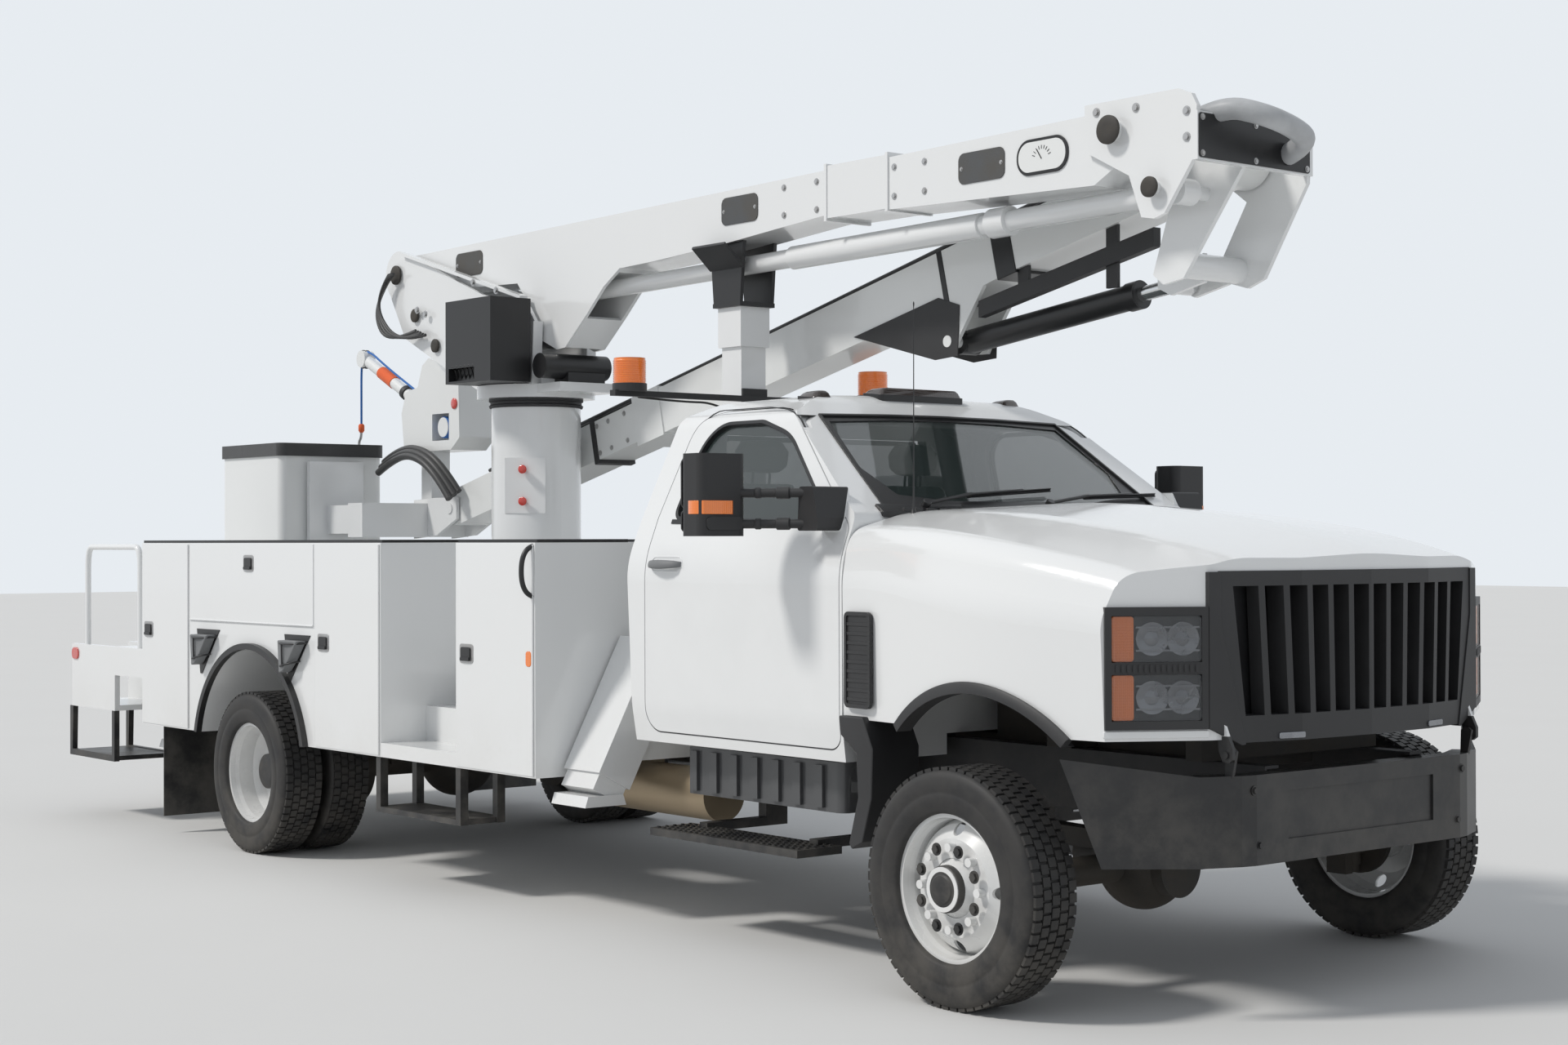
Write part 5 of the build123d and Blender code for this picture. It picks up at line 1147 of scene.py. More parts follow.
# %% Seats
def stuffed(name, draft, body, finish, pressure, cap, cell=0.014):
    """Cloth with air inside: remesh the draft, let it swell for some frames, keep moves below a cap."""
    piece = draft.piece(name, finish, body)
    piece.parent = None
    remesh = piece.modifiers.new("even_faces", "REMESH")
    remesh.mode = "VOXEL"
    remesh.voxel_size = cell
    remesh.use_smooth_shade = True
    depsgraph = bpy.context.evaluated_depsgraph_get()
    start = bpy.data.meshes.new_from_object(piece.evaluated_get(depsgraph))
    piece.modifiers.clear()
    piece.data = start
    before = [vertex.co.copy() for vertex in start.vertices]
    cloth = piece.modifiers.new("swell", "CLOTH")
    cloth.settings.quality = 5
    cloth.settings.use_pressure = True
    cloth.settings.uniform_pressure_force = pressure
    cloth.settings.effector_weights.gravity = 0.0
    cloth.settings.tension_stiffness = 12.0
    cloth.settings.compression_stiffness = 12.0
    cloth.settings.bending_stiffness = 0.4
    cloth.point_cache.frame_start = 1
    cloth.point_cache.frame_end = 20
    for step in range(1, 21):
        bpy.context.scene.frame_set(step)
    swollen = bpy.data.meshes.new_from_object(piece.evaluated_get(bpy.context.evaluated_depsgraph_get()))
    piece.modifiers.clear()
    for vertex, rest in zip(swollen.vertices, before):
        move = vertex.co - rest
        if move.length > cap:
            vertex.co = rest + move.normalized() * cap
    piece.data = swollen
    bpy.context.scene.frame_set(1)
    piece.data.materials.clear()
    piece.data.materials.append(finish.material)
    piece.data.shade_smooth()
    soft = piece.modifiers.new("soft_form", "SUBSURF")
    soft.levels = soft.render_levels = 1
    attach(piece, body)
    return piece


CUSHION_OUTLINE = ((-0.235, 1.145), (0.235, 1.145), (0.240, 1.235), (0.165, 1.258), (0.120, 1.238),
                   (0, 1.242), (-0.120, 1.238), (-0.165, 1.258), (-0.240, 1.235))
HEAD_REST_X = -1.957
HEAD_REST_RINGS = ((1.852, 0.085, 0.030), (1.880, 0.120, 0.040), (1.940, 0.125, 0.044), (1.985, 0.095, 0.034))


def seat(name, y):
    """Cushion, back and head rest, side bolsters raised a little."""
    draft = Draft()
    loops = []
    for share, x in ((0, -1.345), (0.3, -1.36), (1, -1.83)):
        rise = 0.012 if share else -0.02
        loops.append([(x, y + v, z + (rise if z > 1.2 else 0)) for v, z in CUSHION_OUTLINE])
    draft.loops(loops)
    stuffed(name + "_cushion", draft, "chassis", seat_cloth, 1.5, 0.010)
    back = Draft()
    loops = []
    for height, half in ((1.262, 0.215), (1.42, 0.238), (1.62, 0.236), (1.76, 0.205), (1.815, 0.150)):
        x = -1.86 - (height - 1.262) * 0.20
        profile = [(0.035, -half), (0.060, -half * 0.86), (0.030, -half * 0.55), (0.026, 0),
                   (0.030, half * 0.55), (0.060, half * 0.86), (0.035, half), (-0.050, half * 0.9),
                   (-0.058, 0), (-0.050, -half * 0.9)]
        loops.append([(x + dx, y + v, height) for dx, v in profile])
    back.loops(loops)
    stuffed(name + "_back", back, "chassis", seat_cloth, 1.5, 0.010)
    rest = Draft()
    loops = []
    for height, half, deep in HEAD_REST_RINGS:
        ring = oblong(HEAD_REST_X - deep, HEAD_REST_X + deep, y - half, y + half, 0.024, 4)
        loops.append([(x, v, height) for x, v in ring])
    rest.loops(loops)
    stuffed(name + "_head_rest", rest, "chassis", seat_cloth, 1.5, 0.006, 0.010)
    posts = Draft()
    for v in (-0.045, 0.045):
        posts.bar((-1.965, y + v, 1.79), (-1.957, y + v, 1.87), 0.006, 8)
    pan = [(-1.36, 1.150), (-1.80, 1.150), (-1.78, 1.090), (-1.42, 1.085)]
    posts.side(pan, y - 0.19, y + 0.19)
    for v in (-0.16, 0.16):
        posts.box(-1.80, -1.40, y + v - 0.018, y + v + 0.018, 0.882, 0.905)
        posts.bar((-1.44, y + v, 0.89), (-1.74, y + v, 1.10), 0.011, 8)
        posts.bar((-1.74, y + v, 0.89), (-1.44, y + v, 1.10), 0.011, 8)
    posts.piece(name + "_base", black_coat, "chassis", 0.001)


for name, y in (("seat_right", -0.430), ("seat_left", 0.430)):
    seat(name, y)
print("seats in")

# %% [markdown]
# Dash and steering wheel
#
# The dash is a long moulding: one outline from the side, carried over the cab's width, with a hood
# over the dials, round vents, a stack of switches and a glove box lid. The wheel is a padded ring
# with three spokes and a soft middle, leaning back on its column.

# %% Dash and wheel
WHEEL_AT = Vector((-1.290, 0.430, 1.540))
WHEEL_OUT = Vector((-0.190, 0.0, 0.120)).normalized()
WHEEL_UP = Vector((0.120, 0.0, 0.190)).normalized()


def dash():
    draft = Draft()
    line = rounded([(-0.828, 1.258, 0), (-0.828, 1.568, 0.006), (-0.900, 1.596, 0.04), (-1.120, 1.556, 0.04),
                    (-1.172, 1.445, 0.05), (-1.080, 1.260, 0.03)], 4)
    draft.side(line, -0.895, 0.895)
    hood = rounded([(-0.90, 1.590, 0), (-0.98, 1.606, 0.03), (-1.16, 1.588, 0.02), (-1.14, 1.560, 0)], 3)
    draft.side(hood, 0.235, 0.625)
    draft.piece("dash", grey_plastic, "chassis", 0.006, 3)
    vents = Draft()
    vent_ring = [(0, 0.046), (0.012, 0.046), (0.014, 0.040), (0.008, 0.036)]
    for y in (-0.80, -0.12, 0.06, 0.80):
        vents.turned(vent_ring, (-1.150, y, 1.505), (-0.92, 0, 0.38), 20)
    vents.box(-1.176, -1.140, -0.150, 0.100, 1.335, 1.470)
    vents.side([(-1.168, 1.29), (-1.178, 1.43), (-1.165, 1.44), (-1.152, 1.29)], -0.72, -0.34)
    vents.piece("dash_vents", smooth_black, "chassis", 0.002)


def steering_wheel():
    rim = Draft()
    side = WHEEL_OUT.cross(WHEEL_UP)
    loops = []
    for k in range(40):
        a = 2 * math.pi * k / 40
        arm = WHEEL_UP * math.cos(a) + side * math.sin(a)
        centre = WHEEL_AT + arm * 0.205
        grip = 0.0145 + 0.0015 * abs(math.sin(a * 1.5))
        turns = [2 * math.pi * j / 10 for j in range(10)]
        loops.append([centre + (arm * math.cos(b) + WHEEL_OUT * math.sin(b)) * grip for b in turns])
    rim.loops(loops + loops[:1], caps=False)
    for a in (math.radians(90), math.radians(270), math.radians(180)):
        arm = WHEEL_UP * math.cos(a) + side * math.sin(a)
        across = arm.cross(WHEEL_OUT) * 0.018
        ends = [WHEEL_AT + arm * 0.04, WHEEL_AT + arm * 0.198]
        low = WHEEL_OUT * 0.006
        rim.loops([[p - across - low, p + across - low, p + across + low, p - across + low] for p in ends])
    rim.turned([(-0.020, 0.045), (0.0, 0.075), (0.018, 0.070), (0.028, 0.045)], WHEEL_AT, WHEEL_OUT, 24)
    rim.bar(WHEEL_AT - WHEEL_OUT * 0.02, (-1.10, 0.430, 1.420), 0.030, 14)
    rim.piece("steering_wheel", smooth_black, "chassis", smooth=50)


def headliner():
    """Grey board under the roof and the shelf behind the seats."""
    draft = Draft()
    draft.top(oblong(-1.96, -1.42, -0.62, 0.62, 0.06), 2.088, 2.098)
    draft.box(-2.055, -2.030, -0.70, 0.70, 1.20, 1.62)
    draft.piece("headliner", grey_plastic, "chassis", 0.003)


dash()
steering_wheel()
headliner()
gaiter = Draft().box(-1.50, -1.46, -0.02, 0.02, 1.0, 1.02)
gaiter.bar((-1.30, 0.10, 0.89), (-1.26, 0.10, 1.24), 0.010, 10)
knob = [(0, 0.014), (0.02, 0.024), (0.045, 0.022), (0.055, 0.010)]
gaiter.turned(knob, (-1.262, 0.10, 1.23), (0.1, 0, 1), 14)
gaiter.box(-1.40, -1.18, 0.03, 0.17, 0.882, 0.905)
shifter = gaiter.piece("shift_lever", smooth_black, "chassis", 0.002)
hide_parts("cab_interior")
print("dash, wheel and lever in")

# %% [markdown]
# Mirrors
#
# The towing mirrors are deep black housings on two arms. The glass faces back in two panes, a flat
# one over a smaller bowed one. An amber repeater wraps round the outer front corner, and the arms
# have ribbed sleeves where they telescope.

# %% Mirror faces and repeaters
def mirror(side, sign):
    body = "door_" + side + "_body"

    def back(y, z, depth):
        lean = (y - 1.192) / 0.208 * -0.011
        return (-1.2255 + lean - depth, sign * y, z)

    panes = Draft()
    panes.plate(oblong(1.212, 1.384, 1.690, 1.868, 0.018), back, -0.002, 0.003)
    panes.plate(oblong(1.212, 1.384, 1.604, 1.674, 0.014), back, -0.002, 0.003)
    panes.piece("mirror_glass_" + side, mirror_glass, body, 0.001)
    frames = Draft()
    for low, high, radius in ((1.684, 1.874, 0.022), (1.598, 1.680, 0.018)):
        outer = oblong(1.206, 1.390, low, high, radius)
        frames.band(outer, shrunk(outer, 0.007), back, -0.002, 0.006)
    frames.piece("mirror_frames_" + side, smooth_black, body, 0.001)
    lamp = Draft()
    corner = [(-1.222, 1.372), (-1.180, 1.4015), (-1.130, 1.4020), (-1.106, 1.385), (-1.0935, 1.330),
              (-1.0930, 1.262)]
    outer = [(x, sign * y) for x, y in corner]
    inner = [(x - 0.012, sign * (y - 0.012)) for x, y in corner]
    lamp.top(outer + inner[::-1], 1.664, 1.714)
    lamp.piece("mirror_repeater_" + side, amber_lens, body, 0.002)
    ridges = Draft()
    for z in (1.628, 1.742):
        start, end = Vector((-0.948, sign * 1.080, z)), Vector((-1.118, sign * 1.222, z))
        run = (end - start).normalized()
        ridges.turned([(0.02, 0.018), (0.024, 0.023), (0.070, 0.023), (0.074, 0.018)], start, run, 16)
        ridges.turned([(0.13, 0.018), (0.134, 0.021), (0.15, 0.021), (0.154, 0.018)], start, run, 16)
    shell = oblong(1.215, 1.375, 1.605, 1.655, 0.018)
    place = lambda y, z, depth: (-1.100 + (y - 1.192) / 0.208 * -0.011 + depth, sign * y, z)
    ridges.plate(shell, place, 0.0, 0.010)
    ridges.piece("mirror_sleeves_" + side, black_plastic, body, 0.001)


mirror_glass = metal_finish("mirror_glass", (0.78, 0.80, 0.82), 0.02, (0.55, 0.56, 0.57), 0.05, 1.0)
for side, sign in SIDES:
    mirror(side, sign)
print("mirror faces in")

# %% [markdown]
# The nose
#
# The hood's face bends back from its middle, so one function says how far forward it stands at each
# width. The grille's black surround widens on it up to the lamps, and a dark screen stands behind
# the bars. Each lamp lies on a slanted plane at the hood's corner: silver bowls and slats on a dark
# back, an amber part at its outer end and a clear cover over both.

# %% Surround, screen and vents
def nose_x(y):
    """Station of the hood's face across its width."""
    width = abs(y)
    return 0.808 - width * 0.0514 if width < 0.35 else 0.790 - (width - 0.35) * 0.194


def on_nose(y, z, depth):
    return (nose_x(y) + depth, y, z)


def hood_side(sign, proud):
    """Place a point on the fender's side, with a distance outwards from it."""
    def place(x, z, depth):
        bend = 0.29 if x > 0.06 else 0.20
        width = max(1.086 - bend * (x - 0.06) ** 2, 1.006) if x > -0.55 else 1.006 + (x + 0.773) * 0.1
        return (x, sign * (width + proud - depth), z)
    return place


CHEEK = [(0.686, 1.462), (0.733, 1.462), (0.733, 0.958), (0.603, 0.897), (0.586, 0.899), (0.686, 1.298)]
EAR = [(0.704, 0.930), (0.748, 0.930), (0.767, 0.890), (0.767, 0.855), (0.751, 0.843), (0.724, 0.847),
       (0.709, 0.880)]
VENT = oblong(-0.757, -0.597, 0.960, 1.308, 0.022)
GUARD_OUTLINE = [(-0.770, 0.930), (-0.640, 0.930), (-0.585, 0.820), (-0.590, 0.640), (-0.640, 0.480),
                 (-0.700, 0.450), (-0.715, 0.470), (-0.665, 0.640), (-0.675, 0.800), (-0.760, 0.860)]
ARCH_LIP = ((0.608, -0.010), (0.640, -0.010), (0.648, -0.002), (0.640, 0.020), (0.615, 0.020), (0.608, 0.060))

Draft().front([(-0.628, 1.425), (0.628, 1.425), (0.582, 0.984), (-0.582, 0.984)], 0.690, 0.694).piece(
    "grille_screen", smooth_black, "hood_body")
for side, sign in SIDES:
    cheek = Draft().plate([(sign * y, z) for y, z in CHEEK], on_nose, -0.030, 0.005)
    cheek.piece("grille_cheek_" + side, black_plastic, "hood_body", 0.002)
    ear = Draft().side(EAR, sign * 0.6625, sign * 0.6775)
    ear.piece("hinge_ear_cover_" + side, black_coat, "hood_body", 0.001)
    vent = Draft().band(VENT, shrunk(VENT, 0.014), hood_side(sign, 0.007), 0.0, 0.016)
    for k in range(9):
        z = 0.985 + 0.034 * k
        blade = [(-0.747, z), (-0.607, z), (-0.607, z + 0.012), (-0.747, z + 0.012)]
        vent.plate(blade, hood_side(sign, 0.004), 0.0, 0.012)
    vent.plate(shrunk(VENT, 0.010), hood_side(sign, 0.001), 0.0, 0.010)
    vent.piece("side_vent_" + side, black_plastic, "hood_body", 0.001)
    rows = []
    for k in range(29):
        turn = math.radians(48 + 84 * k / 28)
        row = []
        for radius, inward in ARCH_LIP:
            x, z = -0.030 + radius * math.cos(turn), 0.440 + radius * math.sin(turn)
            row.append(hood_side(sign, 0.0)(x, z, inward))
        rows.append(row)
    Draft().loops(rows).piece("arch_fairing_" + side, black_plastic, "hood_body", 0.0, smooth=50.0)
    mudguard = Draft().side(GUARD_OUTLINE, sign * 0.800, sign * 1.030)
    mudguard.piece("mudguard_" + side, black_plastic, "chassis", 0.006, 3)
print("surround, screen, vents and arch fairings on")

# %% Lamps
LAMP_START = Vector((0.528, -1.022, 0.0))
LAMP_RUN = (Vector((0.707, -0.728, 0.0)) - LAMP_START).normalized()
LAMP_OUT = Vector((LAMP_RUN.y, -LAMP_RUN.x, 0.0))
LAMP_ENDS = (0.022, 0.322)


def on_lamp(sign):
    """Place a point of the lamp's plane: run from its outer end, height and distance outwards."""
    def place(run, z, depth):
        point = LAMP_START + LAMP_RUN * run + LAMP_OUT * depth
        return (point.x, -sign * point.y, z)
    return place


def lamp(side, sign, level, low, high):
    place = on_lamp(sign)
    start, end = LAMP_ENDS
    name = level + "_lamp_" + side
    back = oblong(start + 0.001, end - 0.001, low + 0.001, high - 0.001, 0.012)
    Draft().plate(back, place, -0.0155, -0.0135).piece(name + "_reflector", smooth_black, "hood_body")
    bowls = Draft()
    for run in (0.160, 0.262):
        centre = Vector(place(run, (low + high) / 2, -0.012))
        out = Vector(place(run, 1.0, 1.0)) - Vector(place(run, 1.0, 0.0))
        radius = (high - low) * 0.36
        bowl = [(0.0, radius), (0.014, radius), (0.014, radius - 0.004), (0.004, radius * 0.45),
                (0.010, 0.012), (0.012, 0.004)]
        bowls.turned(bowl, centre, out, 32)
    bowls.piece(name + "_bowls", lamp_silver, "hood_body")
    slats = Draft()
    for k in range(3):
        z = low + (high - low) * (0.25 + 0.25 * k)
        slat = [(0.105, z - 0.003), (end - 0.004, z - 0.003), (end - 0.004, z + 0.003), (0.105, z + 0.003)]
        slats.plate(slat, place, -0.010, 0.004)
    slats.piece(name + "_slats", lamp_silver, "hood_body")
    amber = oblong(start + 0.002, 0.098, low + 0.002, high - 0.002, 0.010)
    Draft().plate(amber, place, -0.013, 0.006).piece(name + "_turn", amber_lens, "hood_body", 0.003)
    cover = oblong(start + 0.0005, end - 0.0005, low + 0.0005, high - 0.0005, 0.014)
    Draft().plate(cover, place, 0.009, 0.012).piece(name + "_cover", clear_lens, "hood_body", 0.001)


for side, sign in SIDES:
    lamp(side, sign, "upper", 1.172, 1.322)
    lamp(side, sign, "lower", 0.983, 1.133)
    ribs = Draft()
    for k in range(15):
        run = 0.034 + 0.019 * k
        ribs.plate(oblong(run, run + 0.011, 1.140, 1.165, 0.003, 2), on_lamp(sign), 0.010, 0.0175)
    ribs.piece("lamp_ribs_" + side, black_plastic, "hood_body")
    trim = oblong(-0.004, 0.348, 0.928, 0.951, 0.006)
    sill = Draft().plate(trim, on_lamp(sign), -0.02, 0.008)
    sill.piece("lamp_sill_" + side, white_paint, "hood_body", 0.002)
    strip = [(sign * y, z) for y, z in oblong(0.34, 0.45, 0.912, 0.932, 0.006)]
    Draft().plate(strip, on_nose, -0.004, 0.006).piece("day_lamp_" + side, lamp_silver, "hood_body", 0.002)
print("lamps in")

# %% Bolts of the bumper
bumper_bolts = []
for side, sign in SIDES:
    for y, z in ((0.57, 0.75), (0.545, 0.57)):
        bumper_bolts.append(((0.7695, sign * y, z), (1.0, 0.0, 0.0), 0.011))
scattered("bumper_bolts", black_bolts, bumper_bolts, "chassis")
print("bumper bolts in")

# %% [markdown]
# Tyres and hubs
#
# A tyre is one turned form with ribs on its side. Its tread is five rows of blocks, each row half a
# pitch on from the row beside it. The blocks are one small form that Geometry Nodes sets on points
# round the wheel, turned to face outwards, so that their tops reach the tyre's full radius.

# %% Tyres
TREAD_DEPTH = 0.010
TREAD_R = TYRE_R - TREAD_DEPTH
TYRE_SIDE = [(0.100, 0.250), (0.108, 0.262), (0.113, 0.296), (0.1128, 0.316), (0.1108, 0.320),
             (0.1125, 0.326), (0.113, 0.345), (0.1112, 0.366), (0.106, 0.382), (0.097, 0.3925),
             (0.084, TREAD_R)]
TREAD_ROWS = (-0.078, -0.039, 0.0, 0.039, 0.078)
TREAD_PITCHES = 62
TYRE_Y = 1.115
INNER_TYRE_Y = 0.855

tread_tree = Tree("tread_blocks", {"Length": 0.031, "Width": 0.033, "Height": 0.0188})
tread_size = tread_tree.add("ShaderNodeCombineXYZ", X=tread_tree.size("Length"), Y=tread_tree.size("Width"),
                            Z=tread_tree.size("Height"))
tread_block = tread_tree.add("GeometryNodeMeshCube", Size=tread_size.outputs[0])
tread_tree.close(on_points(tread_tree, tread_block.outputs["Mesh"]), tyre_rubber)


def tyre(name, x, centres, body, node):
    """Turned casings that take the place of the tyre's solid, and the rows of blocks on them."""
    casing = Draft()
    blocks = []
    section = [(-reach, radius) for reach, radius in TYRE_SIDE] + TYRE_SIDE[::-1]
    for y in centres:
        rows = []
        for reach, radius in section:
            turns = [2 * math.pi * k / 120 for k in range(120)]
            rows.append([(x + radius * math.cos(a), y + reach, AXLE_Z + radius * math.sin(a)) for a in turns])
        casing.loops(rows + rows[:1], caps=False)
        for j, row in enumerate(TREAD_ROWS):
            for k in range(TREAD_PITCHES):
                turn = 2 * math.pi * (k + 0.5 * (j % 2)) / TREAD_PITCHES
                out = (math.cos(turn), 0.0, math.sin(turn))
                blocks.append(((x + TREAD_R * out[0], y + row, AXLE_Z + TREAD_R * out[2]), out, 1.0))
    piece = casing.piece(name + "_casing", tyre_rubber, body, smooth=60.0)
    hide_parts(node)
    scattered(name + "_tread", tread_tree, blocks, body)


for side, sign in SIDES:
    tyre("front_tyre_" + side, 0.0, (sign * TYRE_Y,), "front_wheel_" + side + "_body", "front_tyre_" + side)
    tyre("rear_tyres_" + side, -WHEELBASE, (sign * TYRE_Y, sign * INNER_TYRE_Y),
         "rear_wheels_" + side + "_body", "rear_tyres_" + side)
print("tyres on")

# %% Nuts and hubs
STUDS = 8
STUD_PITCH_R = 0.1375
NUT_R = 0.0145
FRONT_DISC_Y, REAR_DISC_Y = 1.2145, 1.0245
FRONT_HUB_Y, REAR_HUB_Y = 1.2045, 1.0945
HUB_PROFILE = [(0.0, 0.078), (0.004, 0.080), (0.028, 0.079), (0.034, 0.073), (0.0365, 0.050), (0.041, 0.046),
               (0.0425, 0.030)]
CAP_PROFILE = [(0.0, 0.088), (0.006, 0.089), (0.020, 0.087), (0.026, 0.078), (0.027, 0.05)]


def nuts(x, y, sign):
    """A wheel's circle of nuts, facing outwards."""
    places = []
    for k in range(STUDS):
        turn = 2 * math.pi * (k + 0.5) / STUDS
        up, along = STUD_PITCH_R * math.sin(turn), STUD_PITCH_R * math.cos(turn)
        places.append(((x + along, sign * y, AXLE_Z + up), (0.0, sign, 0.0), NUT_R))
    return places


def wheel_trim(side, sign):
    scattered("front_nuts_" + side, black_bolts, nuts(0.0, FRONT_DISC_Y, sign),
              "front_wheel_" + side + "_body")
    scattered("rear_nuts_" + side, black_bolts, nuts(-WHEELBASE, REAR_DISC_Y, sign),
              "rear_wheels_" + side + "_body")
    turned_piece("locking_hub_" + side, HUB_PROFILE, (0.0, sign * FRONT_HUB_Y, AXLE_Z), (0, sign, 0), 40,
                 black_coat, "front_wheel_" + side + "_body", 0.001)
    turned_piece("rear_hub_cap_" + side, CAP_PROFILE, (-WHEELBASE, sign * REAR_HUB_Y, AXLE_Z), (0, sign, 0),
                 40, black_coat, "rear_wheels_" + side + "_body", 0.001)


for side, sign in SIDES:
    wheel_trim(side, sign)
print("nuts and hubs on")

# %% [markdown]
# The service body's hardware
#
# Every compartment door has a recessed paddle latch in a steel dish and a long hinge, both placed
# from the door's own box. Wheel chocks hang in wire holders over the rear wheels, and a bent tube
# makes the grab hoop at the tail.

# %% Latches and hinges
LATCH_HEIGHTS = {"rear": 0.510, "over_wheel": 0.61, "middle": 0.50, "front": 0.495}
DOOR_FACE = 1.2042


def latch(name, x, z, sign, body):
    """A dished plate with a folding paddle."""
    face = sign * DOOR_FACE
    dish = Draft().side(oblong(x - 0.055, x + 0.055, z - 0.042, z + 0.042, 0.014), face, face + sign * 0.0025)
    dish.piece(name + "_dish", bare_steel, body, 0.001)
    paddle = Draft()
    for outline, high in ((oblong(x - 0.038, x + 0.038, z - 0.026, z + 0.028, 0.010), 0.009),
                          (oblong(x - 0.036, x + 0.036, z - 0.032, z - 0.016, 0.006), 0.014)):
        paddle.side(outline, face + sign * 0.001, face + sign * high)
    paddle.piece(name + "_paddle", black_coat, body, 0.0015)


def hang_hinge(name, x0, x1, z0, z1, sign, upright):
    """A rolled hinge along the door's edge, cut into knuckles."""
    hinge = Draft()
    y = sign * 1.2045
    length = (z1 - z0) if upright else (x1 - x0)
    count = max(round(length / 0.075), 3)
    for k in range(count):
        start = length * k / count + 0.001
        end = length * (k + 1) / count - 0.001
        if upright:
            hinge.bar((x1 - 0.003, y, z0 + start), (x1 - 0.003, y, z0 + end), 0.0048, 10)
        else:
            hinge.bar((x0 + start, y, z0 + 0.001), (x0 + end, y, z0 + 0.001), 0.0048, 10)
    hinge.piece(name, white_paint, "chassis")


for side, sign in SIDES:
    for bay in BAYS:
        node = "bay_door_" + bay + "_" + side
        low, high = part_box(node)
        x0, x1 = low[0] - AXLE_X, high[0] - AXLE_X
        z0, z1 = low[2], high[2]
        if bay == "over_wheel":
            latch("latch_" + bay + "_" + side, (x0 + x1) / 2, z1 - 0.095, sign, node + "_body")
            hang_hinge("hinge_" + bay + "_" + side, x0, x1, z0, z1, sign, False)
        else:
            latch("latch_" + bay + "_" + side, x0 + 0.085, z0 + LATCH_HEIGHTS[bay], sign, node + "_body")
            hang_hinge("hinge_" + bay + "_" + side, x0, x1, z0, z1, sign, True)
print("latches and hinges on")

# %% Chocks, hoops and tail lamps
CHOCKS_AT = (-5.720, -4.740)
CHOCK_OUTLINE = [(0.035, 1.085), (0.235, 1.085), (0.150, 0.990), (0.085, 0.935), (0.050, 0.925)]
CHOCK_WIRES = [[(0.02, 1.207, 1.075), (0.02, 1.272, 1.070), (0.24, 1.272, 1.070), (0.24, 1.207, 1.075)],
               [(0.04, 1.207, 0.965), (0.04, 1.270, 0.955), (0.16, 1.270, 0.975), (0.17, 1.207, 0.985)],
               [(0.10, 1.271, 1.070), (0.10, 1.271, 1.0), (0.10, 1.268, 0.960)]]


def chock(name, rear, sign):
    """A wedge against the pack's side, held by three bent wires."""
    wedge = [(rear + x, z) for x, z in CHOCK_OUTLINE]
    Draft().side(wedge, sign * 1.206, sign * 1.262).piece(name, grey_plastic, "chassis", 0.006, 3)
    wires = [[(rear + x, sign * y, z) for x, y, z in wire] for wire in CHOCK_WIRES]
    hoses(name + "_holder", wires, 0.0045, black_coat, "chassis")


for side, sign in SIDES:
    for k, rear in enumerate(CHOCKS_AT):
        chock("chock_%d_%s" % (k + 1, side), rear, sign)
    y = sign * 1.150
    hoop = [(-7.265, y, 0.975), (-7.265, y, 1.30), (-7.265, y, 1.538), (-7.14, y, 1.538), (-6.67, y, 1.538),
            (-6.547, y, 1.538), (-6.547, y, 1.30), (-6.547, y, 0.975)]
    hoses("tail_hoop_" + side, [hoop], 0.017, white_paint, "chassis", 10)
    lamp_out = Draft().side(oblong(-7.392, -7.300, 0.890, 0.958, 0.030, 8), sign * 1.1895, sign * 1.198)
    lamp_out.piece("tail_side_lamp_" + side, red_lens, "chassis", 0.004, 3)
    marker = Draft().side(oblong(-2.575, -2.535, 1.040, 1.105, 0.014, 6), sign * 1.1995, sign * 1.207)
    marker.piece("body_marker_" + side, amber_lens, "chassis", 0.003, 3)
    grab = [(-2.530, sign * 1.199, 1.545), (-2.530, sign * 1.255, 1.530), (-2.530, sign * 1.255, 1.350),
            (-2.530, sign * 1.199, 1.335)]
    hoses("front_grab_" + side, [grab], 0.011, black_coat, "chassis", 8)
TAIL_LENS = [(0.0, 0.050), (0.008, 0.050), (0.014, 0.044), (0.015, 0.02)]
tail = Draft()
for y in (-0.30, -0.44, -0.58, 0.30, 0.44, 0.58):
    tail.turned(TAIL_LENS, (-7.399, y, 0.900), (-1, 0, 0), 28)
tail.piece("tail_lamps", red_lens, "chassis")
print("chocks, hoops and lamps on")

# %% Treads of the steps
tread_rows = []
for side, sign in SIDES:
    for j in range(5):
        for k in range(26):
            spot = (-1.935 + 0.0352 * k, sign * (0.825 + 0.040 * j), 0.411)
            tread_rows.append((spot, (0.0, 0.0, 1.0), 0.007))
scattered("cab_step_studs", black_bolts, tread_rows, "chassis")
print("step studs on")

# %% [markdown]
# Turret and pedestal
#
# The slew ring's bearing shows as a dark seam with a ring of bolts over the pedestal. A curved
# inspection plate with two red knobs closes the pedestal's front, and hoses climb to the boom's
# pivot in a bundle.

# %% Turret
PEDESTAL = (-4.330, 0.0)


def round_pedestal(turn, z, radius):
    return (PEDESTAL[0] + radius * math.cos(turn), PEDESTAL[1] + radius * math.sin(turn), z)


def pin_heads(name, rows, y, body):
    """Heads of pins on a plate's near face, from rows of (x, z, radius)."""
    heads = Draft()
    for x, z, radius in rows:
        profile = [(0.0, radius), (0.010, radius), (0.014, radius - 0.006), (0.0145, radius * 0.4)]
        heads.turned(profile, (x, y, z), (0, -1, 0), 32)
    heads.piece(name, cast_iron, body)


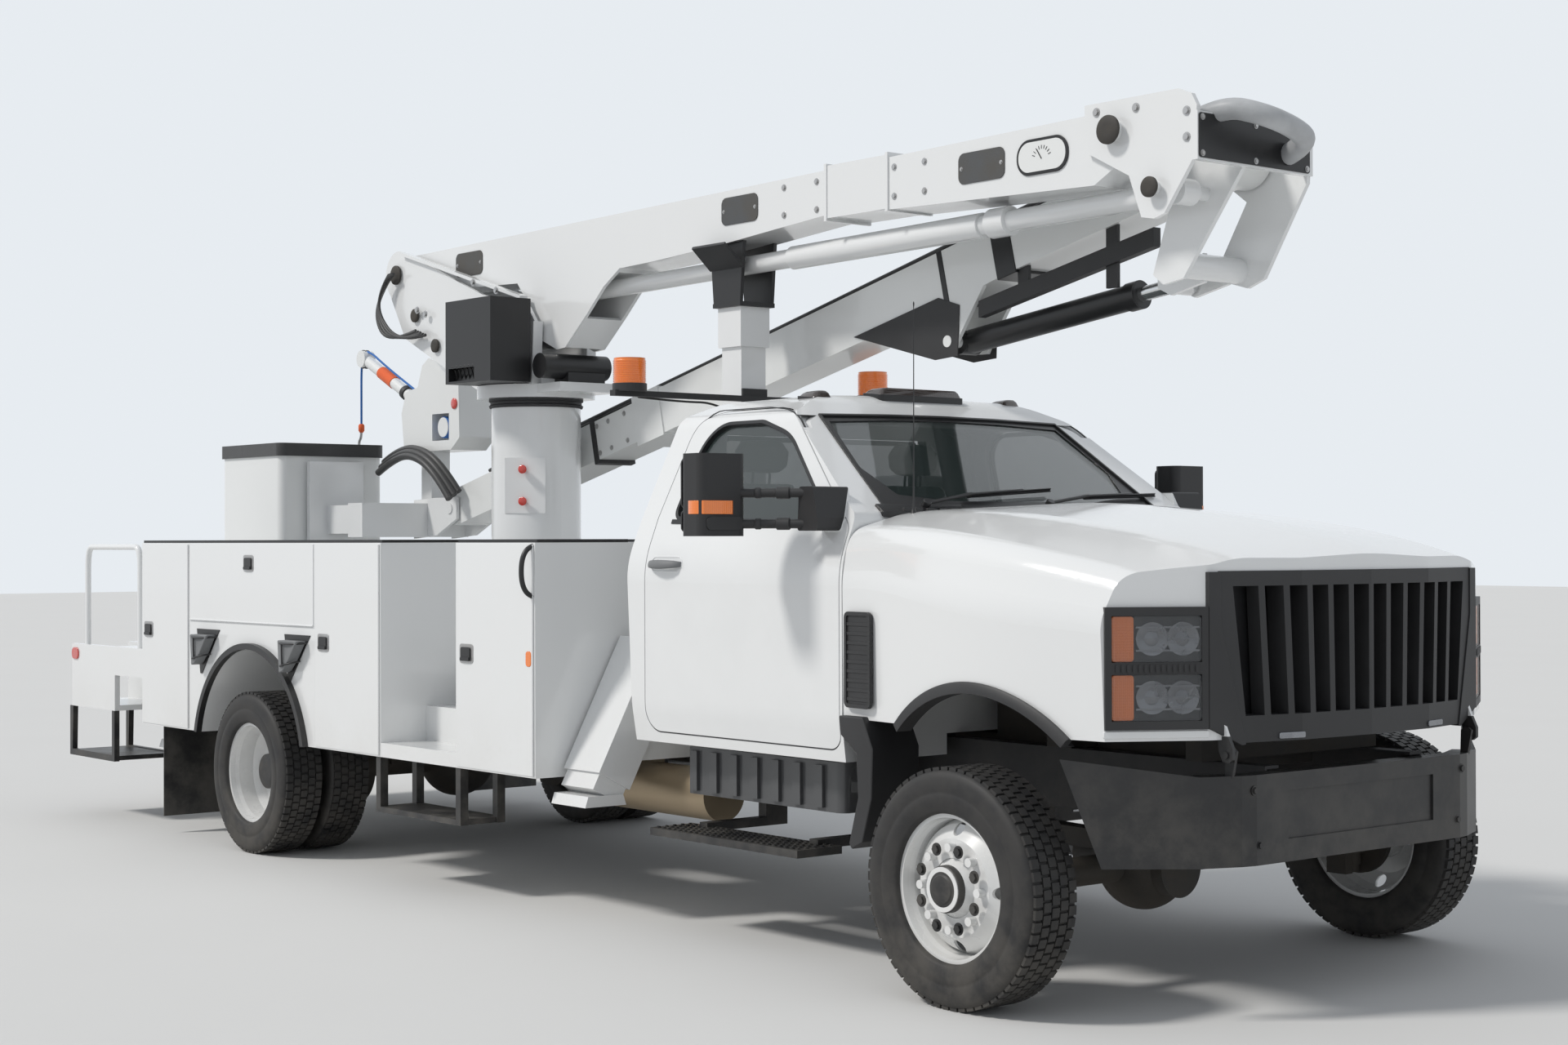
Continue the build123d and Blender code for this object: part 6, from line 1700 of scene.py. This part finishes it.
BEARING_PROFILE = [(0.0, 0.236), (0.012, 0.240), (0.018, 0.232), (0.030, 0.232), (0.034, 0.240),
                   (0.044, 0.240)]
turned_piece("slew_bearing", BEARING_PROFILE, (*PEDESTAL, 2.2405), (0, 0, 1), 64, frame_coat, "chassis")
ring_bolts = []
for k in range(26):
    turn = 2 * math.pi * k / 26
    place = round_pedestal(turn, 2.3515, 0.268)
    if abs(place[1]) < 0.225 and abs(abs(place[1]) - 0.16) > 0.045:
        ring_bolts.append((place, (0.0, 0.0, 1.0), 0.010))
scattered("ring_bolts", steel_bolts, ring_bolts, "chassis")
edge = [(k, 1.705) for k in range(10)] + [(k, 1.985) for k in range(9, -1, -1)]
Draft().loops([[round_pedestal(math.radians(-76 + 6 * k), z, radius) for k, z in edge]
               for radius in (0.2280, 0.2315)]).piece("pedestal_cover", white_paint, "chassis")
KNOB_PROFILE = [(0.0, 0.010), (0.012, 0.010), (0.014, 0.020), (0.026, 0.022), (0.030, 0.016), (0.031, 0.006)]
knobs = Draft()
turn = math.radians(-49)
for z in (1.765, 1.925):
    knobs.turned(KNOB_PROFILE, round_pedestal(turn, z, 0.230), (math.cos(turn), math.sin(turn), 0), 20)
# The knobs take the red lens and its painted glow, though they are no lamps.
knobs.piece("pedestal_knobs", red_lens, "chassis")
LEVER_PROFILE = [(0.0, 0.004), (0.004, 0.010), (0.012, 0.012), (0.020, 0.010), (0.024, 0.003)]
levers = Draft()
for k in range(6):
    levers.turned(LEVER_PROFILE, (-4.408 + 0.038 * k, -0.434, 2.428), (0.2, -0.45, 0.87), 16)
levers.piece("valve_lever_knobs", smooth_black, "chassis")
bundle = []
for k in range(7):
    shift = 0.017 * k
    bundle.append([(-5.08 - shift, -0.205 - 0.004 * (k % 3), 2.66 + 0.3 * shift),
                   (-5.30 - 1.3 * shift, -0.235 - 0.012 * (k % 2), 2.63), (-5.52 - 0.4 * shift, -0.245, 2.80),
                   (-5.50, -0.235 + 0.006 * k, 2.94 + 0.006 * k), (-5.435 + 0.008 * k, -0.222, 3.01)])
hoses("turret_hoses", bundle, 0.0085, hose_rubber, "chassis")
bolt_spots = ((-5.182, 2.800), (-5.098, 2.772), (-4.62, 2.90), (-4.40, 2.84))
plate_bolts = [((x, -0.1955, z), (0.0, -1.0, 0.0), 0.013) for x, z in bolt_spots]
turret_pins = ((-5.430, 3.010, 0.052), (-5.230, 2.775, 0.036), (-5.020, 2.600, 0.036))
pin_heads("turret_pin_heads", turret_pins, -0.178, "chassis")
scattered("turret_bolts", steel_bolts, plate_bolts, "chassis")
print("turret dressed")

# %% [markdown]
# The lower boom
#
# The boom's sides carry small inspection covers, bolts along its joints, and a dial that shows its
# angle. The elbow's front is closed by a black panel with a sleeve of hoses bent over it.

# %% Lower boom and elbow
NEAR = -0.1204
DIAL_X, DIAL_Z = -0.615, 3.030
covers = Draft()
bolts = []
for x, z in ((-4.776, 3.015), (-2.494, 3.045), (-0.951, 3.045)):
    covers.side(oblong(x - 0.130, x + 0.130, z - 0.062, z + 0.062, 0.030), NEAR, NEAR - 0.004)
    bolts += [((x + step, NEAR - 0.004, z), (0.0, -1.0, 0.0), 0.006) for step in (-0.112, 0.112)]
for x in (-2.183, -1.962, -1.466, -1.283):
    bolts += [((x, NEAR - 0.0005, z), (0.0, -1.0, 0.0), 0.010) for z in (2.985, 3.105)]
covers.piece("boom_covers", tank_guard, "lower_boom_body", 0.001)
scattered("boom_bolts", steel_bolts, bolts, "lower_boom_body")
Draft().side(oblong(-0.752, -0.478, 2.972, 3.112, 0.066, 10), NEAR, NEAR - 0.006).piece(
    "angle_dial_rim", smooth_black, "lower_boom_body", 0.002)
Draft().side(oblong(-0.740, -0.490, 2.984, 3.100, 0.055, 10), NEAR - 0.005, NEAR - 0.0075).piece(
    "angle_dial_face", white_gelcoat, "lower_boom_body")
marks = Draft()
for k in range(9):
    turn = math.radians(20 + 17.5 * k)
    start, end = [(DIAL_X + reach * math.cos(turn), NEAR - 0.0082, DIAL_Z + reach * math.sin(turn))
                  for reach in (0.038, 0.052)]
    marks.bar(start, end, 0.0014, 6)
marks.bar((DIAL_X, NEAR - 0.0085, DIAL_Z), (-0.640, NEAR - 0.0085, 3.068), 0.0022, 6)
marks.piece("angle_dial_marks", smooth_black, "lower_boom_body")

panel = oblong(-0.143, 0.484, 2.932, 3.094, 0.012)
Draft().front(panel, 0.1785, 0.1825).piece("elbow_panel", smooth_black, "elbow_body", 0.002)
pin_heads("elbow_pin_heads", ((-0.220, 3.080, 0.054), (-0.020, 2.845, 0.038)), -0.1785, "elbow_body")
bolt_spots = ((-0.114, 3.150), (0.128, 3.104), (0.128, 3.010), (-0.310, 3.160))
panel_spots = [(y, z) for y in (-0.125, 0.17, 0.466) for z in (2.948, 3.078)]
elbow_bolts = [((x, -0.1485, z), (0.0, -1.0, 0.0), 0.012) for x, z in bolt_spots]
elbow_bolts += [((0.183, y, z), (1.0, 0.0, 0.0), 0.008) for y, z in panel_spots]
scattered("elbow_bolts", steel_bolts, elbow_bolts, "elbow_body")
sleeve = [(0.02, -0.045, 3.070), (0.19, -0.035, 3.128), (0.330, 0.030, 3.085), (0.345, 0.190, 3.050),
          (0.300, 0.330, 3.020), (0.180, 0.355, 2.990)]
hoses("elbow_hose_sleeve", [sleeve], 0.040, grey_cover, "elbow_body", 12)
print("lower boom dressed")

# %% [markdown]
# The upper boom
#
# Its stations run along a leaning line, so one function gives points along the boom and across it.
# A dark gasket clasps the joint of steel root and moulded length, a triangular guard covers the
# ram's foot, and hoses follow the boom down to the bucket.

# %% Upper boom
UPPER_START = Vector((-0.110, 0.0, 3.030))
UPPER_RUN = (Vector((-5.560, 0.0, 1.750)) - UPPER_START).normalized()
UPPER_UP = Vector((UPPER_RUN.z, 0.0, -UPPER_RUN.x))


def on_upper(run, rise, depth):
    """Place a point by its run down the upper boom, its rise off the middle line and its station y."""
    point = UPPER_START + UPPER_RUN * run + UPPER_UP * rise
    return (point.x, depth, point.z)


def run_at(x):
    return (x - UPPER_START.x) / UPPER_RUN.x


def clasp(name, x0, x1, half, y0, y1, finish, bevel):
    start, end = run_at(x0), run_at(x1)
    outline = [(start, -half), (end, -half), (end, half), (start, half)]
    Draft().plate(outline, on_upper, y0, y1).piece(name, finish, "upper_boom_body", bevel)


clasp("boom_gasket", -1.160, -1.270, 0.118, 0.2505, 0.4795, smooth_black, 0.004)
clasp("boom_gasket_rear", -1.560, -1.590, 0.1165, 0.2515, 0.4785, smooth_black, 0.003)
clasp("sleeve_band", -4.155, -4.195, 0.119, 0.250, 0.480, black_plastic, 0.003)
guard_line = [(-2.150, 2.470), (-1.600, 2.600), (-1.470, 2.560), (-1.480, 2.345), (-1.620, 2.335)]
for k, (y0, y1) in enumerate(((0.2485, 0.2545), (0.4755, 0.4815))):
    plate = Draft().side(guard_line, y0, y1)
    plate.piece("ram_guard_%d" % (k + 1), black_plastic, "upper_boom_body", 0.002)
band_bolts = []
for x in (-3.760, -3.900, -4.040, -4.140):
    for rise in (-0.070, 0.070):
        band_bolts.append((on_upper(run_at(x), rise, 0.2545), (0.0, -1.0, 0.0), 0.009))
for x in (-0.45, -0.72, -0.98):
    band_bolts.append((on_upper(run_at(x), 0.075, 0.2545), (0.0, -1.0, 0.0), 0.010))
scattered("upper_boom_bolts", steel_bolts, band_bolts, "upper_boom_body")
lines = []
for k in range(4):
    y = 0.300 + 0.040 * k
    lines.append([on_upper(0.30 + 0.10 * k, 0.12, y), on_upper(0.55, 0.145 + 0.004 * k, y),
                  on_upper(1.6, 0.139, y), on_upper(3.2, 0.136, y), on_upper(4.7, 0.140, y),
                  on_upper(5.25, 0.128, y)])
hoses("upper_boom_hoses", lines, 0.010, hose_rubber, "upper_boom_body")
print("upper boom dressed")

# %% Bucket, winch and jib
ROPE_Y = 0.330
JIB_ROOT = Vector((-6.090, ROPE_Y, 2.378))
JIB_TIP = Vector((-6.680, ROPE_Y, 2.655))
JIB_RUN = (JIB_TIP - JIB_ROOT).normalized()
JIB_UP = Vector((0.0, 1.0, 0.0)).cross(JIB_RUN)


def on_jib(run, rise):
    """A point of the rope's plane, by its run along the jib and its rise over it."""
    point = JIB_ROOT + JIB_RUN * run + JIB_UP * rise
    return (point.x, ROPE_Y, point.z)


BAND_PROFILE = [(0.0, 0.0350), (0.002, 0.0375), (0.166, 0.0375), (0.168, 0.0350)]
COLLAR_PROFILE = [(0.0, 0.036), (0.004, 0.042), (0.036, 0.042), (0.040, 0.036)]
SHEAVE_PROFILE = [(0.0, 0.050), (0.006, 0.056), (0.012, 0.056), (0.018, 0.040), (0.024, 0.040),
                  (0.030, 0.056), (0.036, 0.056), (0.042, 0.050)]
turned_piece("jib_band", BAND_PROFILE, on_jib(0.27, 0.0), JIB_RUN, 28, orange_band, "jib_body")
turned_piece("jib_collar", COLLAR_PROFILE, on_jib(0.10, 0.0), JIB_RUN, 28, black_plastic, "jib_body")
turned_piece("jib_sheave", SHEAVE_PROFILE, (JIB_TIP.x - 0.01, 0.309, JIB_TIP.z), (0, 1, 0), 36, smooth_black,
             "jib_body")
drop = JIB_TIP.x - 0.055
rope = [on_jib(0.02, 0.052), on_jib(0.20, 0.050), on_jib(0.45, 0.052), on_jib(0.61, 0.060),
        on_jib(0.70, 0.030)]
rope += [(drop, ROPE_Y, z) for z in (2.600, 2.420, 2.250)]
hoses("jib_rope", [rope], 0.0065, blue_rope, "jib_body", 10)
hook = [(drop + x, ROPE_Y, z) for x, z in ((0.0, 2.245), (0.0, 2.190), (-0.030, 2.165), (-0.028, 2.120),
                                           (0.012, 2.112), (0.026, 2.140))]
hoses("jib_hook", [hook], 0.008, bare_steel, "jib_body", 8)
turned_piece("rope_weight", [(0.0, 0.012), (0.010, 0.018), (0.040, 0.018), (0.052, 0.010)],
             (drop, ROPE_Y, 2.270), (0, 0, -1), 20, orange_band, "jib_body")
ROPE_TURN = [(0.0, 0.0555), (0.002, 0.0605), (0.004, 0.0620), (0.006, 0.0605), (0.008, 0.0555)]
coil = Draft()
for k in range(9):
    coil.turned(ROPE_TURN, (-5.630, 0.2335 + 0.0082 * k, 2.205), (0, 1, 0), 36)
coil.piece("winch_rope", blue_rope, "bucket_body")
# The button takes the red lens and its painted glow, though it is no lamp.
turned_piece("winch_button", [(0.0, 0.030), (0.006, 0.030), (0.010, 0.024), (0.0105, 0.008)],
             (-5.480, 0.2148, 2.330), (0, -1, 0), 28, red_lens, "bucket_body")
wrap = []
for k in range(3):
    wrap.append([(-5.430, 0.150 + 0.03 * k, 1.800 + 0.02 * k), (-5.560, 0.130 + 0.02 * k, 1.960 + 0.025 * k),
                 (-5.800, 0.120 + 0.02 * k, 2.060 + 0.02 * k), (-6.020, 0.120 + 0.02 * k, 2.020 + 0.03 * k),
                 (-6.160, 0.120 + 0.02 * k, 1.960 + 0.03 * k)])
hoses("bucket_hose_wrap", wrap, 0.020, hose_rubber, "bucket_body", 10)
print("bucket, winch and jib dressed")

# %% [markdown]
# Beacons
#
# Each beacon is a ribbed amber dome over its dark base. The dome is turned: every rib is a step of
# two and a half millimetres in its radius.

# %% Beacons
BEACON_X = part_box("beacons")[0][0] - AXLE_X + 0.075
for side, sign in SIDES:
    profile = [(0.0, 0.0685)]
    for k in range(11):
        z = 0.004 + 0.0095 * k
        profile += [(z, 0.0715), (z + 0.0045, 0.0715), (z + 0.006, 0.0690), (z + 0.0090, 0.0690)]
    profile += [(0.112, 0.066), (0.1165, 0.050), (0.1175, 0.020)]
    turned_piece("beacon_dome_" + side, profile, (BEACON_X, sign * 0.70, 2.2395), (0, 0, 1), 40, amber_lens,
                 "chassis", smooth=30.0)
wire = [(BEACON_X - 0.02, -0.640, 2.190), (BEACON_X - 0.03, -0.40, 2.178), (BEACON_X - 0.03, -0.20, 2.182),
        (BEACON_X - 0.03, -0.08, 2.120)]
hoses("beacon_wire", [wire], 0.005, hose_rubber, "chassis")
print("beacons on")
